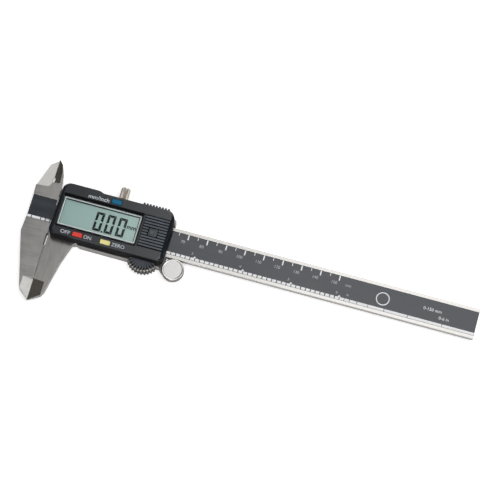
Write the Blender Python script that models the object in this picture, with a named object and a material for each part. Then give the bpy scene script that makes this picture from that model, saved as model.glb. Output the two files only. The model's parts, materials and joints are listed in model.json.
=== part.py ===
"""Digital caliper for 0-150 mm, closed and lying on the back of its slider with the display up.

Every size below is in millimetres in the caliper's own axes: X runs along the beam from the closed
lower measuring faces towards the free end, Y runs across the beam towards the inside jaws, and Z
rises from the beam's front face towards the display. MM turns them into Blender's metres, and the
empty called caliper puts the world's origin under the middle of the whole object.
"""

import math

import bmesh
import bpy
from mathutils import Vector

MM = 0.001

# Running and fitting clearances, how far cutters run past the metal, and the turn of a hole's facets
FIT = 0.05
SLIP = 0.1
PAST = 30.0
HOLE_PHASE = 0.09

# Beam
BEAM_END = 222.9
BEAM_HALF = 8.0
BEAM_THICK = 3.5
HEAD_LEFT = -13.3
HEAD_RIGHT = -0.3
LABEL_HALF = 6.25
STRIP_DEEP = 1.25
LABEL_THICK = 0.2
ROD_HALF = 1.2
ROD_GROOVE_START = 40.0
ROD_FLOOR = -1.9
MEASURING_GAP = 0.025

# Jaws
LOWER_TIP = -48.8
UPPER_TIP = 28.4
KNIFE_X = -5.72
KNIFE_SPLIT = -1.75
TIP_FACET_TOP = -37.4
TIP_FACET_HALF = 5.4
TIP_FACET_DEEP = 1.15
KNIFE_FACET_DEEP = 1.35
KNIFE_GAP = 0.03
RELIEF_TOP = -12.2
RELIEF_LOW = -18.8
RELIEF_HALF = 0.55

# Slider frame
FRAME_RIGHT = 61.6
FRAME_LEFT = 0.1
FRAME_TOP = 13.0
FRAME_LOW = -14.5
FRAME_BACK = -5.5
CHANNEL_TOP = 9.2
CHANNEL_FLOOR = -3.65
RAIL_BACK_START = 17.2
BACK_LABEL_X = (8.0, 42.0)
BACK_LABEL_HALF = 6.5
BACK_LABEL_THICK = 0.17
THUMB_CENTRE = (50.6, -10.5)
THUMB_RADIUS = 9.0
THUMB_TEETH = 10
TOOTH_DEEP = 0.9

# Roller on its arm
ROLLER_RADIUS = 5.75
ROLLER_X = 66.9
ROLLER_Y = -BEAM_HALF - FIT - ROLLER_RADIUS
ROLLER_FRONT = 0.35
ROLLER_BACK = -3.95
ARM_FRONT = -4.05
ARM_BACK = -4.85
ARM_HALF = 2.6
STEM_RADIUS = 1.4
STEM_END = -5.42
CLIP_Z = (-5.22, -5.0)
CLIP_RADIUS = 2.3
CLIP_GROOVE = 0.4

# Screws
HEAD_RIM = 0.15
SLOT_DEEP = 0.45
SLOT_HALF = 0.22
HOUSING_SCREW = (1.6, 0.95, 9.0)
STOP_SCREW = (1.6, 0.95, 2.25)
ROD_SCREW = (1.4, 0.65, 2.95)
GIB_SCREW = (0.9, 3.2)

# Screws in the top rail
LOCK_X = 31.7
RAIL_MID_Z = -2.0
LOCK_HEAD_LOW = 16.0
LOCK_HEAD_TOP = 22.5
LOCK_RADIUS = 2.35
LOCK_THREAD = 1.4
LOCK_SLOT_DEEP = 3.4
LOCK_SLOT_HALF = 0.35
PAD_LOW = 9.4
PAD_TOP = 10.2
PAD_RADIUS = 1.35
GIB_SCREW_X = (14.0, 50.0)
HOUSING_SCREWS = ((4.8, 11.1), (57.0, 11.2), (4.8, -11.2), (57.0, -11.4))
ROD_SCREW_X = (49.0, 56.0)
STOP_X = 218.6
STOP_HALF = (3.0, 6.5)
STOP_THICK = 1.15
STOP_SCREW_Y = (4.2, -4.2)

# Housing
HOUSE_LOW = 0.1
HOUSE_SHOULDER = 7.1
HOUSE_FACE = 8.1
HOUSE_WALL = 0.8
FACE_UNDER = 6.9
HOUSE_LEFT = 0.7
HOUSE_RIGHT = 61.0
HOUSE_BOTTOM = -13.6
HOUSE_TOP = 13.9
HOUSE_TOP_LEFT = 14.8
STEP_X = (20.4, 22.3)
BEVEL_SIDE = 0.5
BEVEL_END = 1.4
BOSS_RADIUS = 1.75
BOSS_BORE = 1.05
BUMP_X = (44.6, 57.8)
BUMP_Z = (1.2, 6.4)
BUMP_RIBS = 9
BUMP_HIGH = 1.2
PAD_RIM = 1.6
PAD_HIGH = 2.0

# Display stack
WINDOW_X = (3.75, 45.05)
WINDOW_Y = (-8.75, 7.25)
WINDOW_Z = (7.2, 7.7)
BEZEL_Z = (6.5, 7.1)
BEZEL_WIDE = 0.75
GLASS_X = (3.4, 45.3)
GLASS_Y = (-9.2, 7.7)
GLASS_Z = (4.6, 6.4)
RUBBER_X = (5.0, 43.5)
RUBBER_Y = (7.1, -8.6)
RUBBER_HALF = 0.4
BOARD_X = (2.6, 59.8)
BOARD_Y = (-12.5, 12.6)
BOARD_CORNER = 5.2
CHIP_PLACE = (24.0, -1.0)
BOARD_Z = (0.45, 1.05)
PAD_Z = BOARD_Z[1] + FIT

# Buttons, battery and its cover
BUTTONS = {
    "button_mm_inch": (30.4, 10.9),
    "button_on_off": (16.0, -11.4),
    "button_zero": (30.7, -11.5),
}
BUTTON_SIZE = (5.2, 2.3)
BUTTON_TOP = 8.6
BUTTON_LOW = 6.0
BUTTON_FLANGE = 0.6
BUTTON_STEM = 0.7
BUTTON_FOOT = 2.05
BATTERY_X = 53.2
BATTERY_RADIUS = 5.8
BATTERY_Z = (1.35, 6.75)
LEAF_THICK = 0.25
LEAF_FOOT = 1.3
LEAF_TOP = 5.5
COVER_X = (46.0, 60.9)
COVER_HALF = 8.5
COVER_TONGUE = 9.2
COVER_WEB = 7.5
COVER_TONGUE_Z = (5.95, 6.75)
COVER_RIBS = 10
RIB_HIGH = 0.35


# Materials: colour, roughness, metallic
FINISHES = {
    "steel": ((0.62, 0.61, 0.59, 1), 0.32, 1.0),
    "screw_steel": ((0.55, 0.54, 0.52, 1), 0.28, 1.0),
    "roller_nickel": ((0.82, 0.81, 0.79, 1), 0.22, 1.0),
    "lock_nickel": ((0.66, 0.61, 0.56, 1), 0.3, 1.0),
    "brass": ((0.72, 0.53, 0.22, 1), 0.35, 1.0),
    "label_black": ((0.035, 0.036, 0.04, 1), 0.45, 0.0),
    "board_green": ((0.02, 0.16, 0.07, 1), 0.5, 0.0),
    "housing_black": ((0.03, 0.033, 0.036, 1), 0.42, 0.0),
    "window_clear": ((0.9, 0.93, 0.93, 1), 0.05, 0.0),
    "bezel_silver": ((0.7, 0.71, 0.72, 1), 0.3, 1.0),
    "display_grey": ((0.42, 0.52, 0.49, 1), 0.3, 0.0),
    "rubber_grey": ((0.2, 0.2, 0.2, 1), 0.8, 0.0),
    "epoxy_black": ((0.01, 0.01, 0.01, 1), 0.3, 0.0),
    "button_blue": ((0.0, 0.19, 0.55, 1), 0.4, 0.0),
    "button_red": ((0.75, 0.05, 0.03, 1), 0.4, 0.0),
    "button_yellow": ((0.85, 0.75, 0.33, 1), 0.4, 0.0),
}


def clear_scene():
    for item in list(bpy.data.objects):
        bpy.data.objects.remove(item, do_unlink=True)


def make_material(name):
    colour, roughness, metallic = FINISHES[name]
    material = bpy.data.materials.new(name)
    material.use_nodes = True
    shader = material.node_tree.nodes["Principled BSDF"]
    shader.inputs["Base Color"].default_value = colour
    shader.inputs["Roughness"].default_value = roughness
    shader.inputs["Metallic"].default_value = metallic
    material.diffuse_color = colour
    return material


def make_empty(name, place, parent=None):
    empty = bpy.data.objects.new(name, None)
    empty.empty_display_size = 5 * MM
    bpy.context.scene.collection.objects.link(empty)
    empty.location = Vector(place) * MM
    empty.parent = parent
    return empty


def as_object(name, shape, parent, origin=(0, 0, 0)):
    """A mesh object from a bmesh drawn in caliper millimetres, with its origin at the given point."""
    bmesh.ops.recalc_face_normals(shape, faces=shape.faces)
    bmesh.ops.translate(shape, verts=shape.verts, vec=-Vector(origin))
    bmesh.ops.scale(shape, verts=shape.verts, vec=(MM, MM, MM))
    mesh = bpy.data.meshes.new(name)
    shape.to_mesh(mesh)
    shape.free()
    item = bpy.data.objects.new(name, mesh)
    bpy.context.scene.collection.objects.link(item)
    item.parent = parent
    item.location = Vector(origin) * MM
    return item


def loft_shape(sections):
    """A closed bmesh through rings of the same number of points, each a list of (x, y, z)."""
    shape = bmesh.new()
    rings = [[shape.verts.new(point) for point in section] for section in sections]
    shape.faces.new(rings[0])
    shape.faces.new(rings[-1])
    for low, high in zip(rings, rings[1:]):
        for i in range(len(low)):
            j = (i + 1) % len(low)
            shape.faces.new((low[i], low[j], high[j], high[i]))
    return shape


def plate_shape(outline, low, high):
    """An outline in the XY plane, raised between two heights."""
    return loft_shape([[(x, y, low) for x, y in outline], [(x, y, high) for x, y in outline]])


def bar_shape(section, start, end):
    """A section in the YZ plane, drawn out along X."""
    return loft_shape([[(start, y, z) for y, z in section], [(end, y, z) for y, z in section]])


def block_shape(xs, ys, zs):
    return plate_shape([(xs[0], ys[0]), (xs[1], ys[0]), (xs[1], ys[1]), (xs[0], ys[1])], zs[0], zs[1])


def turned_shape(profile, centre, axis="Z", segments=32, phase=0.0):
    """A profile of (radius, height) points turned about an axis through the centre; it starts and ends on it.

    phase turns the facets, in radians, so that the corners of a hole and of its surround don't line up.
    """
    shape = bmesh.new()
    place = {
        "Z": lambda a, b, h: (centre[0] + a, centre[1] + b, centre[2] + h),
        "Y": lambda a, b, h: (centre[0] + a, centre[1] + h, centre[2] + b),
    }[axis]
    rings = []
    for radius, height in profile:
        if radius == 0:
            rings.append([shape.verts.new(place(0, 0, height))])
            continue
        ring = []
        for k in range(segments):
            turn = phase + math.tau * k / segments
            ring.append(shape.verts.new(place(radius * math.cos(turn), radius * math.sin(turn), height)))
        rings.append(ring)
    for low, high in zip(rings, rings[1:]):
        for i in range(segments):
            j = (i + 1) % segments
            corners = [low[i % len(low)], low[j % len(low)], high[j % len(high)], high[i % len(high)]]
            shape.faces.new(list(dict.fromkeys(corners)))
    return shape


def wedge_shape(thick_x, thin_x, face, deep, ys):
    """A cutter that leaves a face sloping down, from the thick_x line to deep below the face at thin_x.

    thick_x is the x of the facet's upper limit at ys[0] and at ys[1]. A face behind the beam takes a
    negative deep, so that the wedge works upwards.
    """
    clear = math.copysign(1.0, deep)
    over = 0.2
    sections = []
    for y, edge in zip(ys, thick_x):
        sunk = deep * (1 + over)
        beyond = thin_x + (thin_x - edge) * over
        slope = [(edge, y, face), (beyond, y, face - sunk)]
        sections.append(slope + [(beyond, y, face + clear), (edge, y, face + clear)])
    return loft_shape(sections)


def helper(name, shape, parent):
    item = as_object(name, shape, parent)
    item.hide_render = True
    item.display_type = "WIRE"
    return item


def combine(item, operation, shapes, word="shape"):
    """Cuts the shapes from the item, or joins them to it."""
    for number, shape in enumerate(shapes):
        tool = helper(f"{item.name}_{operation.lower()}_{word}_{number}", shape, item.parent)
        step = item.modifiers.new(f"{operation.title()} {word} {number}", "BOOLEAN")
        step.operation = operation
        step.object = tool
        step.solver = "EXACT"


def finish(item, material, smooth=False):
    item.data.materials.append(material)
    if smooth:
        item.data.shade_smooth()
        item.data.set_sharp_from_angle(angle=math.radians(35))
    return item


def arc(centre, radius, start, end, steps):
    angles = [math.radians(start + (end - start) * k / steps) for k in range(steps + 1)]
    return [(centre[0] + radius * math.cos(a), centre[1] + radius * math.sin(a)) for a in angles]


def toothed_arc(radius, start, end):
    """Tip, root, tip ... along the thumb rest's arc, with one radius for the tips."""
    points = []
    count = 2 * THUMB_TEETH
    for k in range(count + 1):
        angle = math.radians(start + (end - start) * k / count)
        reach = radius if k % 2 == 1 else radius - TOOTH_DEEP
        points.append((THUMB_CENTRE[0] + reach * math.cos(angle), THUMB_CENTRE[1] + reach * math.sin(angle)))
    return points


def countersunk_profile(start, head, rim, shank, length):
    """From the axis out to the head's edge, down its cone to the shank, and back to the axis."""
    neck = rim + head - shank
    return [(0, start), (head, start), (head, rim), (shank, neck), (shank, length), (0, length)]


def screw(name, centre, size, material, parent, segments=20):
    """A countersunk screw with its slotted face at the centre; size is head radius, shank radius, length."""
    head, shank, length = size
    profile = countersunk_profile(0, head, HEAD_RIM, shank, length)
    item = as_object(name, turned_shape(profile, centre, "Z", segments), parent, centre)
    x, y, z = centre
    slot = block_shape((x - head - 1, x + head + 1), (y - SLOT_HALF, y + SLOT_HALF), (z - 1, z + SLOT_DEEP))
    combine(item, "DIFFERENCE", [slot])
    return finish(item, material, smooth=True)


def countersunk_hole(centre, head, shank, length, segments=20):
    """The cutter of a countersunk hole, which runs out through the face that the centre is on."""
    profile = countersunk_profile(-1, head, HEAD_RIM + SLIP, shank, length)
    return turned_shape(profile, centre, "Z", segments, HOLE_PHASE)


def round_hole(centre, radius, start, end, axis="Z", segments=16):
    """The cutter of a plain hole, from start to end along its axis, measured from the centre."""
    profile = [(0, start), (radius, start), (radius, end), (0, end)]
    return turned_shape(profile, centre, axis, segments, HOLE_PHASE)


# ---------------------------------------------------------------- beam


def beam_outline():
    """Beam, fixed lower jaw and fixed inside jaw as one outline, anticlockwise from the free end."""
    knife = KNIFE_X + KNIFE_GAP
    inside_jaw = [
        (HEAD_RIGHT, BEAM_HALF), (HEAD_RIGHT, 13.0), (-0.56, 15.9), (-1.34, 20.2), (-3.36, 25.6),
        (knife, UPPER_TIP), (knife, 18.2), (-5.0, 17.6), (-5.0, 15.3), (knife, 14.6),
        (-6.86, 12.4), (-13.62, 11.7),
    ]
    face = -MEASURING_GAP
    lower_jaw = [
        (HEAD_LEFT, 5.9), (HEAD_LEFT, -4.9), (-13.78, -14.3), (-6.2, -41.6), (-5.3, -44.1),
        (face, LOWER_TIP), (face, RELIEF_LOW), (-RELIEF_HALF, RELIEF_LOW + 0.4),
        (-RELIEF_HALF, RELIEF_TOP - 0.3), (face, RELIEF_TOP), (face, -BEAM_HALF),
    ]
    return [(BEAM_END, -BEAM_HALF), (BEAM_END, BEAM_HALF)] + inside_jaw + lower_jaw


def make_beam(steel, parent):
    beam = as_object("beam", plate_shape(beam_outline(), -BEAM_THICK, 0), parent)
    past = BEAM_END + PAST
    behind = -BEAM_THICK - 1
    rod_room = ROD_HALF + SLIP
    tip_x = (-TIP_FACET_HALF, -TIP_FACET_HALF)
    tip_y = (LOWER_TIP - PAST, TIP_FACET_TOP)
    cuts = [
        # seat of the scale, open at both ends
        block_shape((-PAST, past), (-LABEL_HALF - SLIP, LABEL_HALF + SLIP), (-STRIP_DEEP, 1)),
        # groove of the depth rod, open to the back and at the free end
        block_shape((ROD_GROOVE_START, past), (-rod_room, rod_room), (behind, ROD_FLOOR)),
        # the inside jaw keeps only its front half, because the moving one passes behind it
        block_shape((-PAST, 0.5), (BEAM_HALF, UPPER_TIP + PAST), (behind, KNIFE_SPLIT + SLIP)),
        # facets of the inside jaw and, front and back, of the lower jaw's tip
        wedge_shape((-1.9, -3.2), KNIFE_X, 0, KNIFE_FACET_DEEP, (15.2, 30)),
        wedge_shape(tip_x, 0, 0, TIP_FACET_DEEP, tip_y),
        wedge_shape(tip_x, 0, -BEAM_THICK, -TIP_FACET_DEEP, tip_y),
    ]
    cuts += [round_hole((STOP_X, y, -BEAM_THICK), 1.05, -2, 1.3) for y in STOP_SCREW_Y]
    combine(beam, "DIFFERENCE", cuts)
    return finish(beam, steel)


def make_scale(board, black, parent):
    """The scale's sensing strip, and the printed label over it, both in the beam's seat."""
    ends = (HEAD_LEFT + SLIP, BEAM_END - SLIP)
    wide = (-LABEL_HALF, LABEL_HALF)
    strip = block_shape(ends, wide, (-STRIP_DEEP + FIT, -LABEL_THICK - 2 * FIT))
    finish(as_object("scale_strip", strip, parent), board)
    label = block_shape(ends, wide, (-LABEL_THICK - FIT, -FIT))
    finish(as_object("scale_label", label, parent), black)


def make_end_stop(steel, screw_steel, parent):
    """A plate behind the beam's free end that the slider's back comes up against."""
    front = -BEAM_THICK - FIT
    back = front - STOP_THICK
    half_x, half_y = STOP_HALF
    plate = block_shape((STOP_X - half_x, STOP_X + half_x), (-half_y, half_y), (back, front))
    stop = as_object("end_stop", plate, parent)
    combine(stop, "DIFFERENCE", [countersunk_hole((STOP_X, y, back), 1.7, 1.1, 3, 16) for y in STOP_SCREW_Y])
    finish(stop, steel)
    for number, y in enumerate(STOP_SCREW_Y, 1):
        screw(f"end_stop_screw_{number}", (STOP_X, y, back + FIT), STOP_SCREW, screw_steel, parent, 16)


# ---------------------------------------------------------------- slider


def slider_outline():
    """Moving jaw, rails, thumb rest, roller arm and moving inside jaw, anticlockwise from the tip."""
    jaw = [
        (MEASURING_GAP, LOWER_TIP), (6.0, -44.8), (7.2, -42.6), (10.6, -25.3), (13.5, -15.8),
        (14.3, -14.4), (15.1, -13.8), (16.0, -13.8), (16.7, FRAME_LOW),
    ]
    rest = toothed_arc(THUMB_RADIUS, -149, -31)
    arm = [(FRAME_RIGHT - 2, FRAME_LOW), (FRAME_RIGHT, ROLLER_Y - ARM_HALF)]
    arm += arc((ROLLER_X, ROLLER_Y), ARM_HALF, -90, 90, 12)
    arm += [(FRAME_RIGHT, ROLLER_Y + ARM_HALF)]
    top = [(FRAME_RIGHT, FRAME_TOP - 1.4), (FRAME_RIGHT - 1.4, FRAME_TOP), (FRAME_LEFT, FRAME_TOP)]
    knife = KNIFE_X - KNIFE_GAP
    above_beam = BEAM_HALF + 0.2
    inside_jaw = [
        (knife, 14.2), (-6.4, 15.2), (-6.4, 17.6), (knife, 18.2), (knife, UPPER_TIP),
        (-9.56, 24.75), (-13.62, 11.7), (HEAD_LEFT - 0.06, above_beam),
    ]
    throat = [
        (FRAME_LEFT, above_beam), (FRAME_LEFT, RELIEF_TOP), (RELIEF_HALF, RELIEF_TOP - 0.3),
        (RELIEF_HALF, RELIEF_LOW + 0.4), (MEASURING_GAP, RELIEF_LOW),
    ]
    return jaw + rest + arm + top + inside_jaw + throat


def make_slider_frame(steel, parent):
    frame = as_object("slider_frame", plate_shape(slider_outline(), FRAME_BACK, 0), parent)
    behind = FRAME_BACK - 1
    right = ROLLER_X + PAST
    low, top = LOWER_TIP - PAST, UPPER_TIP + PAST
    knife_face = KNIFE_SPLIT - SLIP
    tip_x = (TIP_FACET_HALF + 0.5, TIP_FACET_HALF + 0.5)
    tip_y = (low, TIP_FACET_TOP)
    label_half = BACK_LABEL_HALF + SLIP
    roller = (ROLLER_X, ROLLER_Y)
    cuts = [
        round_hole((*roller, ARM_BACK), STEM_RADIUS + SLIP, -2, 7, segments=24),
        # the beam's channel, which also seats the gib strip
        block_shape((-0.5, right), (-BEAM_HALF - SLIP, CHANNEL_TOP), (CHANNEL_FLOOR, 1)),
        # both jaws are as thick as the beam
        block_shape((-5, RAIL_BACK_START), (low, FRAME_LOW + 0.3), (behind, -BEAM_THICK)),
        block_shape((-PAST, 0.4), (7.5, top), (behind, -BEAM_THICK)),
        # the moving inside jaw keeps only its back half
        block_shape((-PAST, FRAME_LEFT - 0.05), (7.5, top), (knife_face, 1)),
        wedge_shape((-13.9, -9.0), KNIFE_X, knife_face, KNIFE_FACET_DEEP, (12.2, 32)),
        wedge_shape(tip_x, 0, 0, TIP_FACET_DEEP, tip_y),
        wedge_shape(tip_x, 0, -BEAM_THICK, -TIP_FACET_DEEP, tip_y),
        # room for the roller in front of its arm, and for the clip behind it
        round_hole((*roller, ARM_FRONT), ROLLER_RADIUS + 0.3, 0, 10, segments=48),
        block_shape((ROLLER_X - 3, right), (-25, -8.6), (ARM_FRONT, 1)),
        block_shape((FRAME_RIGHT + 0.7, right), (-25, -5), (behind, ARM_BACK)),
        # seat of the back label
        block_shape((BACK_LABEL_X[0] - SLIP, BACK_LABEL_X[1] + SLIP), (-label_half, label_half),
                    (behind, FRAME_BACK + BACK_LABEL_THICK + SLIP)),
    ]
    cuts += [countersunk_hole((x, y, FRAME_BACK), 1.7, 1.15, 8) for x, y in HOUSING_SCREWS]
    cuts += [countersunk_hole((x, 0, FRAME_BACK), 1.5, 0.85, 3, 16) for x in ROD_SCREW_X]
    cuts += [round_hole((x, BEAM_HALF, RAIL_MID_Z), 1.0, 0, 8, "Y") for x in GIB_SCREW_X]
    cuts.append(round_hole((LOCK_X, BEAM_HALF, RAIL_MID_Z), 1.5, 0, 8, "Y", 24))
    combine(frame, "DIFFERENCE", cuts)
    return finish(frame, steel)


def make_slider_fittings(steel, screw_steel, brass, black, parent):
    gib = block_shape((2.5, 60.5), (BEAM_HALF + 0.15, CHANNEL_TOP - 0.15), (CHANNEL_FLOOR + 0.25, -0.2))
    finish(as_object("gib_strip", gib, parent), brass)
    radius, length = GIB_SCREW
    for number, x in enumerate(GIB_SCREW_X, 1):
        place = (x, CHANNEL_TOP - FIT, RAIL_MID_Z)
        end = place[1] + length
        profile = [(0, 0), (radius, 0), (radius, length), (0, length)]
        item = as_object(f"gib_screw_{number}", turned_shape(profile, place, "Y", 16), parent, place)
        slot_z = (RAIL_MID_Z - SLOT_HALF, RAIL_MID_Z + SLOT_HALF)
        slot = block_shape((x - 2, x + 2), (end - SLOT_DEEP, end + 2), slot_z)
        combine(item, "DIFFERENCE", [slot])
        finish(item, screw_steel, smooth=True)
    low = FRAME_BACK + 0.03
    label = block_shape(BACK_LABEL_X, (-BACK_LABEL_HALF, BACK_LABEL_HALF), (low, low + BACK_LABEL_THICK))
    finish(as_object("back_label", label, parent), black)
    make_depth_rod(steel, screw_steel, parent)


def make_depth_rod(steel, screw_steel, parent):
    """A flat rod in the beam's back groove, on a foot that two screws hold to the slider's back."""
    back = -BEAM_THICK - FIT
    start, foot_end = ROD_SCREW_X[0] - 3, ROD_SCREW_X[1] + 3
    end = BEAM_END - SLIP
    outline = [
        (start, -ROD_HALF), (end - 4, -ROD_HALF), (end, -0.5), (end, ROD_HALF), (start, ROD_HALF),
    ]
    rod = as_object("depth_rod", plate_shape(outline, back, ROD_FLOOR - SLIP), parent)
    cuts = [block_shape((foot_end, end + PAST), (-5, 5), (back - 1, back + 0.2))]
    cuts += [round_hole((x, 0, back), 0.75, -1, 1.15) for x in ROD_SCREW_X]
    combine(rod, "DIFFERENCE", cuts)
    finish(rod, steel)
    for number, x in enumerate(ROD_SCREW_X, 1):
        screw(f"rod_screw_{number}", (x, 0, FRAME_BACK + FIT), ROD_SCREW, screw_steel, parent, 16)


# ---------------------------------------------------------------- housing


def housing_outline():
    """The shell's outline, with the shallow step in its top edge and its four corners cut off."""
    return [
        (HOUSE_LEFT, -11.9), (2.3, HOUSE_BOTTOM), (59.6, HOUSE_BOTTOM), (HOUSE_RIGHT, -12.2),
        (HOUSE_RIGHT, 11.6), (59.2, HOUSE_TOP), (STEP_X[1], HOUSE_TOP), (STEP_X[0], HOUSE_TOP_LEFT),
        (4.2, HOUSE_TOP_LEFT), (1.5, 12.6),
    ]


def inset(outline, side, end):
    """The outline drawn in by side in Y, and by end in X near the two ends."""
    moved = []
    for x, y in outline:
        shift = end if x < 6 else -end if x > 55 else 0
        moved.append((x + shift, y - math.copysign(side, y)))
    return moved


def bump_outline():
    """Ribs along the top edge, over the battery's end of the shell."""
    start, end = BUMP_X
    low, high = HOUSE_TOP - 1, HOUSE_TOP + BUMP_HIGH
    pitch = (end - start) / BUMP_RIBS
    points = [(end, low), (end, high - 0.9)]
    for k in range(BUMP_RIBS):
        right = end - k * pitch
        points += [(right - 0.3 * pitch, high), (right - 0.7 * pitch, high), (right - pitch, high - 0.55)]
    return points + [(start, low)]


def make_housing(black, parent):
    outline = housing_outline()
    bevelled = inset(outline, BEVEL_SIDE, BEVEL_END)
    sections = [(outline, HOUSE_LOW), (outline, HOUSE_SHOULDER), (bevelled, HOUSE_FACE)]
    shell = loft_shape([[(x, y, z) for x, y in ring] for ring, z in sections])
    housing = as_object("housing", shell, parent)
    pad = toothed_arc(THUMB_RADIUS - PAD_RIM, -145, -35)
    pad += [(57.5, HOUSE_BOTTOM + 0.4), (43.7, HOUSE_BOTTOM + 0.4)]
    combine(housing, "UNION", [plate_shape(bump_outline(), *BUMP_Z), plate_shape(pad, HOUSE_LOW, PAD_HIGH)])
    edge = FIT + SLIP
    above = HOUSE_FACE + 1
    window_x = (WINDOW_X[0] - edge, WINDOW_X[1] + edge)
    window_y = (WINDOW_Y[0] - edge, WINDOW_Y[1] + edge)
    cover_x = (COVER_X[0] - SLIP, COVER_X[1] + PAST)
    cover_half = COVER_HALF + SLIP
    tongue_half = COVER_TONGUE + SLIP
    cuts = [
        plate_shape(inset(outline, HOUSE_WALL, HOUSE_WALL), HOUSE_LOW - 1, FACE_UNDER),
        block_shape(window_x, window_y, (4, above)),
        # the battery cover's opening, with a wider slot below it for the cover's tongues
        block_shape(cover_x, (-cover_half, cover_half), (5.8, above)),
        block_shape(cover_x, (-tongue_half, tongue_half), (5.7, FACE_UNDER - FIT)),
    ]
    half_x, half_y = BUTTON_SIZE[0] / 2 + SLIP, BUTTON_SIZE[1] / 2 + SLIP
    for x, y in BUTTONS.values():
        cuts.append(block_shape((x - half_x, x + half_x), (y - half_y, y + half_y), (5, above)))
    combine(housing, "DIFFERENCE", cuts)
    foot = HOUSE_LOW + 0.2
    tall = HOUSE_SHOULDER + 0.4 - foot
    bored = [
        (0, 4), (BOSS_BORE, 4), (BOSS_BORE, 0), (BOSS_RADIUS, 0), (BOSS_RADIUS, tall), (0, tall),
    ]
    bosses = [turned_shape(bored, (x, y, foot), segments=16) for x, y in HOUSING_SCREWS]
    combine(housing, "UNION", bosses, "boss")
    return finish(housing, black)


def make_housing_screws(screw_steel, parent):
    for number, (x, y) in enumerate(HOUSING_SCREWS, 1):
        screw(f"housing_screw_{number}", (x, y, FRAME_BACK + FIT), HOUSING_SCREW, screw_steel, parent)


def frame_shape(xs, ys, zs, wide):
    """A rectangular ring: outer and inner loops at both heights."""
    outer = [(xs[0], ys[0]), (xs[1], ys[0]), (xs[1], ys[1]), (xs[0], ys[1])]
    inner = [(xs[0] + wide, ys[0] + wide), (xs[1] - wide, ys[0] + wide)]
    inner += [(xs[1] - wide, ys[1] - wide), (xs[0] + wide, ys[1] - wide)]
    shape = bmesh.new()
    around = ((outer, zs[0]), (outer, zs[1]), (inner, zs[1]), (inner, zs[0]))
    loops = [[shape.verts.new((x, y, z)) for x, y in ring] for ring, z in around]
    for a, b in zip(loops, loops[1:] + loops[:1]):
        for i in range(4):
            j = (i + 1) % 4
            shape.faces.new((a[i], a[j], b[j], b[i]))
    return shape


def make_display(mats, parent):
    window = block_shape(WINDOW_X, WINDOW_Y, WINDOW_Z)
    finish(as_object("display_window", window, parent), mats["window_clear"])
    bezel_x = (WINDOW_X[0] + SLIP, WINDOW_X[1] - SLIP)
    bezel_y = (WINDOW_Y[0] + SLIP, WINDOW_Y[1] - SLIP)
    bezel = frame_shape(bezel_x, bezel_y, BEZEL_Z, BEZEL_WIDE)
    finish(as_object("display_bezel", bezel, parent), mats["bezel_silver"])
    glass = block_shape(GLASS_X, GLASS_Y, GLASS_Z)
    finish(as_object("display_glass", glass, parent), mats["display_grey"])
    for number, y in enumerate(RUBBER_Y, 1):
        strip = block_shape(RUBBER_X, (y - RUBBER_HALF, y + RUBBER_HALF), (PAD_Z, GLASS_Z[0] - FIT))
        finish(as_object(f"contact_rubber_{number}", strip, parent), mats["rubber_grey"])


def make_circuit(mats, parent):
    """The sensing board over the scale, with its chip, key domes, battery and battery contacts."""
    left, right = BOARD_X
    low, high = BOARD_Y
    inner_x = (left + BOARD_CORNER, right - BOARD_CORNER)
    inner_y = (low + BOARD_CORNER, high - BOARD_CORNER)
    outline = [
        (inner_x[0], low), (inner_x[1], low), (inner_x[1], inner_y[0]), (right, inner_y[0]),
        (right, inner_y[1]), (inner_x[1], inner_y[1]), (inner_x[1], high), (inner_x[0], high),
        (inner_x[0], inner_y[1]), (left, inner_y[1]), (left, inner_y[0]), (inner_x[0], inner_y[0]),
    ]
    finish(as_object("circuit_board", plate_shape(outline, *BOARD_Z), parent), mats["board_green"])
    blob = [(0, 0), (3.4, 0), (3.3, 0.4), (2.7, 0.8), (1.6, 1.05), (0, 1.15)]
    place = (*CHIP_PLACE, PAD_Z)
    chip = as_object("chip", turned_shape(blob, place, segments=24), parent, place)
    finish(chip, mats["epoxy_black"], smooth=True)
    dome = [(0, 0), (0.95, 0), (0.8, 0.22), (0.4, 0.33), (0, 0.36)]
    for name, (x, y) in BUTTONS.items():
        place = (x, y, PAD_Z)
        snap = turned_shape(dome, place, segments=16)
        item = as_object(name.replace("button", "key_dome"), snap, parent, place)
        finish(item, mats["steel"], smooth=True)
    make_battery(mats["steel"], mats["brass"], parent)


def make_battery(steel, brass, parent):
    """A button cell between a leaf under it and a bent leaf beside it."""
    low, high = BATTERY_Z
    radius = BATTERY_RADIUS
    cell = [
        (0, low), (radius - 1.0, low), (radius - 0.8, low + 0.4), (radius - 0.2, low + 0.5),
        (radius, low + 0.8), (radius, high - 0.3), (radius - 0.3, high), (0, high),
    ]
    place = (BATTERY_X, 0, 0)
    battery = as_object("battery", turned_shape(cell, place, segments=40), parent, place)
    finish(battery, steel, smooth=True)
    minus = block_shape((BATTERY_X - 3.2, BATTERY_X + 3.2), (-2, 2), (PAD_Z, PAD_Z + 0.18))
    finish(as_object("contact_minus", minus, parent), brass)
    inner, outer = radius + SLIP, radius + SLIP + LEAF_THICK
    foot = inner + LEAF_FOOT
    section = [
        (inner, PAD_Z), (foot, PAD_Z), (foot, PAD_Z + LEAF_THICK), (outer, PAD_Z + LEAF_THICK),
        (outer, LEAF_TOP), (inner, LEAF_TOP),
    ]
    plus = bar_shape(section, BATTERY_X - 2.2, BATTERY_X + 2.2)
    finish(as_object("contact_plus", plus, parent), brass)


# ---------------------------------------------------------------- pieces that move on the slider


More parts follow.
